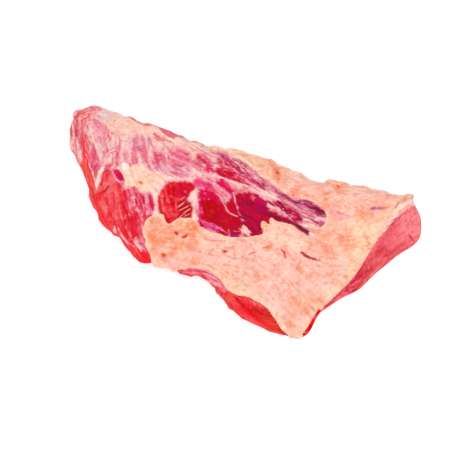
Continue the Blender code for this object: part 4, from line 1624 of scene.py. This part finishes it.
@dataclass(frozen=True)
class TissueFinish:
    """Raw tissue coloured by its mesh, with grain, blotches and a wet film."""

    name: str
    light: Tone
    deep: tuple[float, float, float]
    light_share: float
    deep_share: float
    blotch_size: float
    speck_size: float
    speck_share: float
    grain: float
    fibre_share: float
    bump: float
    dry: float
    wet: float
    film: float
    through: float
    through_depth: float
    through_tint: tuple[float, float, float]
    mirror: float = 0.2

    def make(self, groups: TissueGroups) -> bpy.types.Material:
        """Builds the material.

        Args:
            groups: The shared node groups.

        Returns:
            The material.
        """
        made = bpy.data.materials.new(self.name)
        made.use_nodes = True
        shader = made.node_tree.nodes["Principled BSDF"]
        w = Wiring(made.node_tree)
        place = w.add("ShaderNodeTexCoord").outputs["Object"]
        grain = w.group(groups.fine_grain, Vector=place, Grain=self.grain,
                        Fibre=w.attribute("fibre", "Fac"), Fibre_Share=self.fibre_share)
        lightened = w.math("MULTIPLY", w.attribute("film", "Fac"), self.light_share)
        made.diffuse_color = pale = (*to_linear(self.light.display), 1.0)
        colour = w.attribute("tint", "Color")
        for size, share in ((self.blotch_size, 1.0), (self.speck_size, self.speck_share)):
            mottle = w.group(
                groups.mottle, Vector=place, Size=size, Color=colour, Light=pale,
                Deep=(*self.deep, 1.0), Light_Share=w.math("MULTIPLY", lightened, share),
                Deep_Share=self.deep_share * share,
            )
            colour = mottle.outputs["Color"]
        gloss = w.group(groups.wet_gloss, Vector=place, Dry=self.dry, Wet=self.wet,
                        Film=self.film)
        bump = w.feed(w.add("ShaderNodeBump"), Strength=1.0, Distance=self.bump * MM,
                      Height=grain.outputs["Height"])
        w.feed(
            shader, Base_Color=colour, Roughness=gloss.outputs["Roughness"],
            Coat_Weight=gloss.outputs["Coat"], Normal=bump.outputs["Normal"],
            Coat_Roughness=0.12, IOR=1.4, Specular_IOR_Level=self.mirror,
            Subsurface_Weight=self.through, Subsurface_Radius=self.through_tint,
            Subsurface_Scale=self.through_depth * MM,
        )
        return made


LEAN_FINISH = TissueFinish(
    name="wet_lean_meat", light=Tone.SKIN_PALE, deep=(0.72, 0.45, 0.5), light_share=0.3,
    deep_share=0.35, blotch_size=190.0, speck_size=900.0, speck_share=1.0, grain=700.0,
    fibre_share=0.5, bump=0.3, dry=0.5, wet=0.3, film=0.14, through=0.08, through_depth=1.0,
    through_tint=(1.0, 0.3, 0.25), mirror=0.08,
)

FAT_FINISH = TissueFinish(
    name="beef_fat", light=Tone.FAT_EDGE, deep=(0.9, 0.66, 0.6), light_share=0.3,
    deep_share=0.4, blotch_size=150.0, speck_size=700.0, speck_share=0.9, grain=520.0,
    fibre_share=0.35, bump=0.4, dry=0.62, wet=0.42, film=0.15, through=0.12,
    through_depth=1.2, through_tint=(1.0, 0.55, 0.4),
)


# ---------- pieces


def tissue_object(name: str, points: Array, faces: list[list[int]], colour: Array,
                  fibre: Array) -> bpy.types.Object:
    """Makes a smooth object that keeps its colours and fibre noise on its mesh.

    Args:
        name: Name of the object.
        points: Its points in millimetres.
        faces: Corner indices of each face.
        colour: Display colours of the points.
        fibre: Fibre noise of the points.

    Returns:
        The object.
    """
    mesh = bpy.data.meshes.new(name)
    mesh.from_pydata((points * MM).tolist(), [], faces)
    mesh.validate()
    mesh.polygons.foreach_set("use_smooth", [True] * len(mesh.polygons))
    for layer, kind, key, values in (
        ("tint", "FLOAT_COLOR", "color", np.column_stack([to_linear(colour), fibre * 0 + 1])),
        ("fibre", "FLOAT", "value", np.clip(0.5 + 0.3 * fibre, 0, 1)),
        ("film", "FLOAT", "value", smooth(0.35, 0.8, colour[:, 1])),
    ):
        made = mesh.attributes.new(layer, kind, "POINT")
        made.data.foreach_set(key, values.astype(np.float32).ravel())
    piece = bpy.data.objects.new(name, mesh)
    bpy.context.scene.collection.objects.link(piece)
    return piece


@dataclass
class FatSpread:
    """Where the fat lies, and how high it and the lean under it are, in millimetres."""

    pixel: float = 0.82
    dip: float = 0.9
    under: float = 3.6
    plunge: float = 1.5
    rise: float = 1.3
    near_wall_rise: float = 2.3
    far_foot: float = 35.0
    near_foot: float = 9.0
    cut_climb: float = 17.0
    thick: float = 22.0
    ragged: float = 0.75
    start: float = 124.0
    climb_span: tuple[float, float] = (90.0, 150.0)
    foot_slope: float = 0.7
    foot_band: float = 6.0
    start_bend: float = 0.25
    start_height: float = 8.0
    dip_span: tuple[float, float] = (-14.0, -1.0)
    under_span: tuple[float, float] = (0.4, 5.0)
    rounding: tuple[float, float] = (1.6, 0.8)
    settle_span: tuple[float, float] = (3.0, 16.0)

    def foot(self, points: Array) -> Array:
        """Height of the lower edge of the fat on the sides that are out of sight.

        Args:
            points: Positions in millimetres.

        Returns:
            Heights.
        """
        climb = self.cut_climb * smooth(*self.climb_span, points[..., 0])
        far = self.far_foot + climb + 5.0 * layered_noise(points, 45.0, 33, 2)
        near = self.near_foot + 1.5 * layered_noise(points, 20.0, 34, 2)
        return np.where(points[..., 1] > 0.0, far, near)

    def plain_depth(self, pixels: Array) -> Array:
        """Signed distance in millimetres from the drawn border of the fat."""
        flat = depth_inside(rounded(FAT_BORDER, True, 2), pixels.reshape(-1, 2))
        return (flat * self.pixel).reshape(pixels.shape[:-1])

    def depth(self, skin: Skin) -> Array:
        """Signed distance from the border of the fat, above zero where the fat lies.

        Args:
            skin: The skin that the fat lies on.

        Returns:
            Depths in millimetres, one for each point of the skin.
        """
        points = skin.points.reshape(-1, 3)
        depth = self.plain_depth(skin.pixels).reshape(-1)
        sway = layered_noise(points, 5.0, 31, 3)
        hidden = skin.hidden.reshape(-1) > 0.0
        foot = self.foot(points)
        drop = self.foot_slope * (points[:, 2] - foot)
        ramp = np.where(hidden, np.minimum(depth, drop), depth)
        low = (points[:, 2] < foot + self.foot_band) & hidden
        ramp = np.where(low, np.minimum(ramp, drop), ramp)
        begin = np.repeat(skin.from_tip - self.start, skin.count)
        begin = begin - self.start_bend * np.abs(drop - self.start_height)
        ramp = np.where(hidden, np.minimum(ramp, begin), ramp)
        return (ramp + self.ragged * sway).reshape(skin.hidden.shape)

    def lean_offset(self, depth: Array, height: Array) -> Array:
        """How far the surface of the lean is moved out.

        Args:
            depth: Depth inside the fat.
            height: Height over the table; the lean gives way less where the roast is thin.

        Returns:
            Offsets, below zero under the fat.
        """
        window = -self.dip * smooth(*self.dip_span, depth)
        under = (self.under - self.dip) * smooth(*self.under_span, depth)
        return window - under * smooth(0.0, self.thick, height)

    def fat_offset(self, depth: Array, wall: Array) -> Array:
        """How far the surface of the fat is moved out.

        Args:
            depth: Depth inside the fat.
            wall: Share of the thicker edge over the near wall.

        Returns:
            Offsets, running under the surface of the lean outside the border.
        """
        high = mix(self.rise, self.near_wall_rise, wall)
        inside = high * (1.0 - np.exp(-np.maximum(depth, 0.0) / mix(*self.rounding, wall)))
        settle = (high - self.dip) * smooth(*self.settle_span, depth)
        return -self.dip + inside - settle + self.plunge * np.minimum(depth, 0.0)


@dataclass
class RoastPiece:
    """What the lean and the fat share."""

    form: RoastForm
    view: Viewpoint
    spread: FatSpread


@dataclass
class LeanMuscle(RoastPiece):
    """The lean muscle, from the tip to the cut, in place of the solid of the same part."""

    ring_points: int = 236
    tip_rings: int = 38
    body_gap: float = 0.7
    body_end: float = 266.0
    end_gap: float = 2.2
    cut_pitch: float = 1.2
    fade: float = 9.0
    lumps: float = 0.35
    bare_edge: tuple[float, float] = (4.0, 0.5)
    flat_foot: tuple[float, float] = (0.2, 4.0)

    def places(self) -> Array:
        """Distances of the rings from the tip.

        Returns:
            Distances in millimetres, rising.
        """
        nose = self.form.nose_length
        turn = np.linspace(0.025, math.pi / 2.0, self.tip_rings, endpoint=False)
        body = np.arange(nose, self.body_end, self.body_gap)
        end = np.linspace(self.body_end, self.form.length, int(
            (self.form.length - self.body_end) / self.end_gap) + 1)
        return np.concatenate([nose * (1.0 - np.cos(turn)), body, end])

    def density(self, points: Array, normals: Array) -> Array:
        """Sets points closer where the lean is bare and in sight.

        Args:
            points: Positions of a grid.
            normals: Their outward normals.

        Returns:
            Densities, 1 where it is highest.
        """
        seen = smooth(-0.08, 0.08, normals @ self.view.back)
        bare = smooth(6.0, 1.0, self.spread.plain_depth(self.view.project(points)))
        return 0.13 + seen * (0.12 + 0.75 * bare)

    def base_colour(self, canvas: Canvas) -> None:
        """Paints the whole muscle as streaked skin and gives it fine lumps.

        Args:
            canvas: The canvas of the skin.
        """
        skin = Patch(Tone.SKIN, 1.0, (), light=Tone.SKIN_PALE, dark=Tone.PINK, streaks=0.9)
        canvas.colour = skin.shade(canvas.grain)
        canvas.lift += 0.2 * canvas.grain.broad + 0.12 * canvas.grain.fine
        canvas.lift += self.lumps * layered_noise(canvas.points, 9.0, 49, 3)

    def far_side(self, canvas: Canvas) -> None:
        """Paints what the photograph doesn't show: red meat with silverskin and seams.

        Args:
            canvas: The canvas of the skin.
        """
        points = canvas.points
        stretched = points / np.array([6.0, 1.0, 1.0])
        threads = layered_noise(stretched, 2.2, 41, 3)
        broad = layered_noise(points / np.array([2.2, 1.0, 1.0]), 26.0, 43, 3)
        meat = Tone.RED.towards(Tone.CRIMSON, smooth(-0.2, 0.9, threads))
        meat = mix(meat, Tone.WARM_PINK.display, 0.7 * smooth(0.1, 1.0, -threads)[:, None])
        film = smooth(0.05, 0.5, broad + 0.35 * threads)
        veil = Tone.SKIN.towards(Tone.SKIN_PALE, smooth(-0.5, 0.8, threads))
        colour = mix(meat, veil, 0.85 * film[:, None])
        seam = 1.0 - smooth(0.0, 0.07, np.abs(layered_noise(points, 34.0, 47, 2)))
        colour = mix(colour, Tone.CREAM.display, 0.7 * seam[:, None])
        share = smooth(0.0, self.fade, canvas.hidden + 3.0 * threads - 1.0)
        canvas.colour = mix(canvas.colour, colour, share[:, None])
        relief = 0.22 * threads + 0.5 * broad + 0.35 * seam
        canvas.lift = mix(canvas.lift, relief, share)

    def paint(self, canvas: Canvas) -> None:
        """Lays all tissues of the lean, from the tip to the near wall.

        Args:
            canvas: The canvas of the skin.
        """
        self.base_colour(canvas)
        canvas.lay(TIP_TISSUES)
        canvas.lay(FAR_TISSUES)
        canvas.weave(Tone.CREAM, 0.3, 0.55)
        canvas.lay(LOBE_TISSUES)
        canvas.lay(WALL_TISSUES)
        canvas.weave(Tone.SKIN_PALE, 0.14, 0.3)
        canvas.lay(WINDOW_TISSUES)
        self.far_side(canvas)
        canvas.shadow(0.14)

    def cut_face(self, ring: Array, start: int) -> tuple[Array, list[list[int]]]:
        """Fills the cut end with an even net of points.

        Args:
            ring: Points of the last ring, of shape (n, 3).
            start: Index of its first point.

        Returns:
            The new points and the faces.
        """
        rim = ring[:, 1:3]
        low, high = rim.min(0), rim.max(0)
        pitch = self.cut_pitch
        y, z = np.meshgrid(np.arange(low[0], high[0], pitch), np.arange(low[1], high[1], pitch))
        y = y + (np.arange(len(y)) % 2)[:, None] * pitch / 2.0
        inner = np.stack([y.ravel(), z.ravel()], -1)
        inner = inner[depth_inside(rim, inner) > pitch * 0.6]
        flat = np.concatenate([rim, inner])
        edges = [(i, (i + 1) % len(rim)) for i in range(len(rim))]
        faces, origin = geometry.delaunay_2d_cdt(
            [Vector(p) for p in flat], edges, [], 1, 1e-6
        )[2:4]
        back = [o[0] for o in origin]
        fresh = [i for i in back if i >= len(rim)]
        number = {old: k for k, old in enumerate(fresh)}
        number.update((old, old - len(rim) - 1) for old in back if old < len(rim))
        first = start + len(rim) + 1
        corners = [[first + number[back[v]] for v in face] for face in faces]
        places = flat[fresh]
        return np.column_stack([self.form.cut_place(*places.T), places]), corners

    def build(self, fibres: FibreField) -> bpy.types.Object:
        """Makes the mesh, lowers it under the fat, raises its tissues and paints it.

        Args:
            fibres: The lie of its fibres.

        Returns:
            The muscle.
        """
        skin = Skin(self.form, self.view, SWELLS, self.places(), self.ring_points, (0.0, 2.0),
                    self.density)
        shape = skin.hidden.shape
        depth = self.spread.depth(skin)
        canvas = skin.canvas(fibres)
        self.paint(canvas)
        bare = smooth(*self.bare_edge, depth)
        height = skin.points[..., 2]
        offset = self.spread.lean_offset(depth, height) + canvas.lift.reshape(shape) * bare
        points = skin.moved(offset * smooth(*self.flat_foot, height), 0.0)
        rows, count = shape
        i, j = np.meshgrid(np.arange(rows - 1), np.arange(count), indexing="ij")
        k = (j + 1) % count
        quads = (i * count + j, (i + 1) * count + j, (i + 1) * count + k, i * count + k)
        faces = np.stack(quads, -1).reshape(-1, 4).tolist()
        body = points.reshape(-1, 3)
        tip = body[:count].mean(0)
        faces += [[len(body), j, (j + 1) % count] for j in range(count)]
        cut, corners = self.cut_face(points[-1], (rows - 1) * count)
        face_canvas = Canvas(cut, self.view.project(cut), np.zeros(len(cut)), fibres)
        self.paint_cut(face_canvas)
        cut[:, 0] += face_canvas.lift
        faces += corners
        every = np.concatenate([body, tip[None], cut])
        colour = np.concatenate([canvas.colour, canvas.colour[:1], face_canvas.colour])
        fine = canvas.grain.fine
        fibre = np.concatenate([fine, fine[:1], face_canvas.grain.fine])
        return tissue_object("lean_muscle", every, faces, colour, fibre)

    def paint_cut(self, canvas: Canvas) -> None:
        """Paints the cut across the grain: pink meat with specks of marbling.

        Args:
            canvas: The canvas of the cut end.
        """
        speck = layered_noise(canvas.points, 2.4, 53, 3)
        broad = layered_noise(canvas.points, 13.0, 55, 3)
        canvas.colour = Tone.CUT.towards(Tone.CUT_PALE, smooth(-0.2, 0.8, broad))
        canvas.blend(Tone.ROSE, 0.6 * smooth(0.0, 0.9, -broad))
        canvas.lay(CUT_TISSUES)
        canvas.blend(Tone.RASPBERRY, 0.4 * smooth(0.15, 0.9, -speck))
        canvas.blend(Tone.SKIN_PALE, 0.4 * smooth(0.35, 0.95, speck))
        canvas.weave(Tone.CUT_PALE, 0.25, 0.4)
        canvas.shadow(0.14)
        canvas.lift += 0.22 * speck + 0.5 * broad


@dataclass
class FatSheet(RoastPiece):
    """The fat over the muscle, in place of the solid of the fat cap."""

    start: float = 118.0
    gap: float = 0.72
    columns: int = 262
    span: tuple[float, float] = (0.18, 1.78)
    lumps: float = 0.45
    wrinkles: float = 0.16
    reach: float = 1.7
    wall_height: tuple[float, float] = (50.0, 38.0)
    wall_start: tuple[float, float] = (-30.0, 20.0)
    sink: float = 0.25
    plunge: float = 1.5
    thinnest: float = 0.2
    lowest: float = 0.4

    def density(self, points: Array, normals: Array) -> Array:
        """Sets points closer where the fat is in sight.

        Args:
            points: Positions of a grid.
            normals: Their outward normals.

        Returns:
            Densities, 1 where it is highest.
        """
        seen = smooth(-0.08, 0.08, normals @ self.view.back)
        fat = smooth(-8.0, -2.0, self.spread.plain_depth(self.view.project(points)))
        foot = smooth(16.0, 6.0, np.abs(points[..., 2] - self.spread.foot(points)))
        return 0.2 + seen * (0.8 * fat) + 0.5 * foot * (1.0 - seen)

    def kept_cells(self, depth: Array) -> Array:
        """The cells of the net that the fat covers, without cells that touch at one corner.

        Args:
            depth: Depth inside the fat at the points of the net.

        Returns:
            One flag for each cell.
        """
        inside = depth > -self.reach
        cells = inside[:-1, :-1] & inside[1:, :-1] & inside[:-1, 1:] & inside[1:, 1:]
        while True:
            padded = np.pad(cells, 1)
            a, b = padded[:-1, :-1], padded[:-1, 1:]
            c, d = padded[1:, :-1], padded[1:, 1:]
            crossed = (a & d & ~b & ~c) | (b & c & ~a & ~d)
            if not crossed.any():
                return cells
            near = crossed[:-1, :-1] | crossed[:-1, 1:] | crossed[1:, :-1] | crossed[1:, 1:]
            cells = cells | near

    def paint(self, canvas: Canvas, depth: Array) -> None:
        """Paints the fat: warm cream, pinker and more orange in places, paler at its rim, with
        painted shade in its creases.

        Args:
            canvas: The canvas of the skin.
            depth: Depth inside the fat at each point.
        """
        points = canvas.points
        clouds = layered_noise(points, 24.0, 61, 3)
        spots = layered_noise(points, 7.0, 63, 3)
        canvas.colour = Tone.FAT.towards(Tone.FAT_PINK, smooth(-0.6, 0.8, clouds))
        canvas.lay(FAT_AREAS)
        freckles = layered_noise(points, 2.4, 65, 2)
        streak = canvas.grain.fine + 0.5 * canvas.grain.broad
        canvas.blend(Tone.FAT_PALE, 0.8 * smooth(0.1, 0.8, spots))
        canvas.blend(Tone.FAT_ORANGE, 0.7 * smooth(0.1, 0.8, -spots))
        canvas.blend(Tone.FAT_EDGE, 0.22 * smooth(0.3, 1.2, streak))
        canvas.blend(Tone.FAT_GLOW, 0.16 * smooth(0.3, 1.2, -streak))
        canvas.blend(Tone.FAT_EDGE, 0.5 * smooth(0.2, 0.9, freckles))
        canvas.blend(Tone.FAT_GLOW, 0.3 * smooth(0.2, 0.9, -freckles))
        canvas.lift += self.lumps * clouds + 0.3 * spots + 0.12 * freckles
        # creases: sunk into the surface, and darkened towards orange, partly the fat's own tone
        # and partly painted shade
        for size, seed in ((26.0, 67), (13.0, 69)):
            fold = np.abs(layered_noise(points, size, seed, 3) + 0.05 * canvas.grain.fine)
            crease_and_shade = smooth(0.06, 0.0, fold) * smooth(-0.2, 0.5, spots + canvas.grain.broad)
            canvas.blend(Tone.FAT_GLOW, 0.45 * crease_and_shade)
            canvas.lift -= self.wrinkles * crease_and_shade
        canvas.lift += self.wrinkles * streak
        canvas.blend(Tone.FAT_EDGE, 0.55 * smooth(3.2, 0.6, depth))
        canvas.weave(Tone.RUST, 0.07, 0.3)
        canvas.lay(FAT_MARKS)
        canvas.shadow(0.06)

    def build(self, fibres: FibreField) -> bpy.types.Object:
        """Makes the sheet as a closed body and paints it.

        Args:
            fibres: The lie of its fibres.

        Returns:
            The sheet.
        """
        rows = int((self.form.length - self.start) / self.gap) + 1
        places = np.linspace(self.start, self.form.length, rows)
        skin = Skin(self.form, self.view, SWELLS, places, self.columns, self.span, self.density)
        shape = skin.hidden.shape
        depth = self.spread.depth(skin)
        canvas = skin.canvas(fibres)
        self.paint(canvas, depth.reshape(-1))
        x, y, z = np.moveaxis(skin.points, -1, 0)
        wall = smooth(*self.wall_height, z) * (y < 0.0) * smooth(*self.wall_start, x)
        thin = smooth(0.0, 3.0, depth)
        outer = self.spread.fat_offset(depth, wall) + canvas.lift.reshape(shape) * thin
        inner = self.spread.lean_offset(depth, z) - self.sink
        inner = np.minimum(inner + self.plunge * np.minimum(depth, 0.0), outer - self.thinnest)
        both = np.concatenate([skin.moved(offset, self.lowest) for offset in (outer, inner)])
        cells = self.kept_cells(depth)
        count = shape[1]
        i, j = np.nonzero(cells)
        a, b = i * count + j, (i + 1) * count + j
        total = shape[0] * count
        top = np.stack([a, b, b + 1, a + 1], -1)
        bottom = top[:, ::-1] + total
        padded = np.pad(cells, 1)
        walls = []
        sides = ((1, 0, a, b), (1, 2, b + 1, a + 1), (0, 1, a + 1, a), (2, 1, b, b + 1))
        for down, right, first, second in sides:
            open_side = ~padded[i + down, j + right]
            f, s = first[open_side], second[open_side]
            walls.append(np.stack([s, f, f + total, s + total], -1))
        faces = np.concatenate([top, bottom, *walls])
        used, faces = np.unique(faces, return_inverse=True)
        return tissue_object(
            "fat_sheet", both.reshape(-1, 3)[used], faces.reshape(-1, 4).tolist(),
            canvas.colour[used % total], canvas.grain.fine[used % total],
        )


# ---------- the studio


@dataclass
class Tabletop:
    """A plain pale floor."""

    half: float = 12.0
    level: float = -0.0005
    shade: tuple[float, float, float, float] = (0.36, 0.36, 0.36, 1.0)
    glow: float = 0.8

    def build(self) -> bpy.types.Object:
        """Makes the floor and its plain finish.

        Returns:
            The floor.
        """
        mesh = bpy.data.meshes.new("tabletop")
        corners = ((-1, -1), (1, -1), (1, 1), (-1, 1))
        mesh.from_pydata([(x * self.half, y * self.half, self.level) for x, y in corners], [],
                         [(0, 1, 2, 3)])
        floor = bpy.data.objects.new("tabletop", mesh)
        bpy.context.scene.collection.objects.link(floor)
        finish = bpy.data.materials.new("matt_white_paper")
        finish.use_nodes = True
        shader = finish.node_tree.nodes["Principled BSDF"]
        w = Wiring(finish.node_tree)
        place = w.add("ShaderNodeTexCoord").outputs["Object"]
        grain = w.noise(place, 60.0, 3.0)
        low = tuple(0.985 * c for c in self.shade[:3]) + (1.0,)
        w.feed(shader, Base_Color=w.blend(grain, low, self.shade), Roughness=0.9,
               Specular_IOR_Level=0.1, Emission_Color=(1.0, 1.0, 1.0, 1.0),
               Emission_Strength=self.glow)
        mesh.materials.append(finish)
        return floor


@dataclass
class SoftStudio:
    """Soft light from all round with one broad lamp over the near side."""

    ambient: float = 0.62
    mirrored: float = 0.08
    key_power: float = 4.2
    key_size: float = 0.9
    fill_power: float = 2.6
    back_power: float = 3.2

    def build(self) -> None:
        """Makes the sky and the lamps."""
        scene = bpy.context.scene
        scene.view_settings.view_transform = "Standard"
        world = bpy.data.worlds.new("studio")
        world.use_nodes = True
        sky = world.node_tree.nodes["Background"]
        sky.inputs["Color"].default_value = (1.0, 1.0, 1.0, 1.0)
        w = Wiring(world.node_tree)
        rays = w.add("ShaderNodeLightPath")
        dimmed = w.ramp(rays.outputs["Is Glossy Ray"], 0.0, 1.0, self.ambient, self.mirrored)
        w.join(dimmed, sky.inputs["Strength"])
        scene.world = world
        self.lamp("key", (-0.35, -0.55, 0.95), self.key_power, self.key_size)
        self.lamp("fill", (0.75, -0.35, 0.6), self.fill_power, self.key_size)
        self.lamp("back", (0.1, 0.8, 0.9), self.back_power, self.key_size)

    def lamp(self, name: str, place: tuple[float, float, float], power: float,
             size: float) -> None:
        """Adds one square lamp that looks at the roast.

        Args:
            name: Its name.
            place: Where it hangs, in metres.
            power: Its power in watts.
            size: Length of its side.
        """
        data = bpy.data.lights.new(name, "AREA")
        data.energy, data.size = power, size
        made = bpy.data.objects.new(name, data)
        bpy.context.scene.collection.objects.link(made)
        turn = Vector(place).to_track_quat("Z", "Y").to_matrix().to_4x4()
        made.matrix_world = Matrix.Translation(place) @ turn


# ---------- the whole


def main() -> None:
    """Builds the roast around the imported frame, the floor, the light and the camera."""
    logging.basicConfig(level=logging.INFO, format="%(name)s: %(message)s")
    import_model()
    view = Viewpoint()
    view.add_camera()
    form = RoastForm()
    spread = FatSpread()
    groups = TissueGroups()

    lean_fibres = FibreField(LEAN_BOX, LEAN_LIE, LEAN_SEED)
    lean = LeanMuscle(form, view, spread).build(lean_fibres)
    lean.data.materials.append(LEAN_FINISH.make(groups))
    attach(lean, "root")
    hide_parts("lean")
    LOG.info("%s: %d points", lean.name, len(lean.data.vertices))

    fat_fibres = FibreField(FAT_BOX, FAT_LIE, FAT_SEED)
    fat = FatSheet(form, view, spread).build(fat_fibres)
    fat.data.materials.append(FAT_FINISH.make(groups))
    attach(fat, "root")
    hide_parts("fat_cap")
    LOG.info("%s: %d points", fat.name, len(fat.data.vertices))

    Tabletop().build()
    SoftStudio().build()


if __name__ == "__main__":
    main()
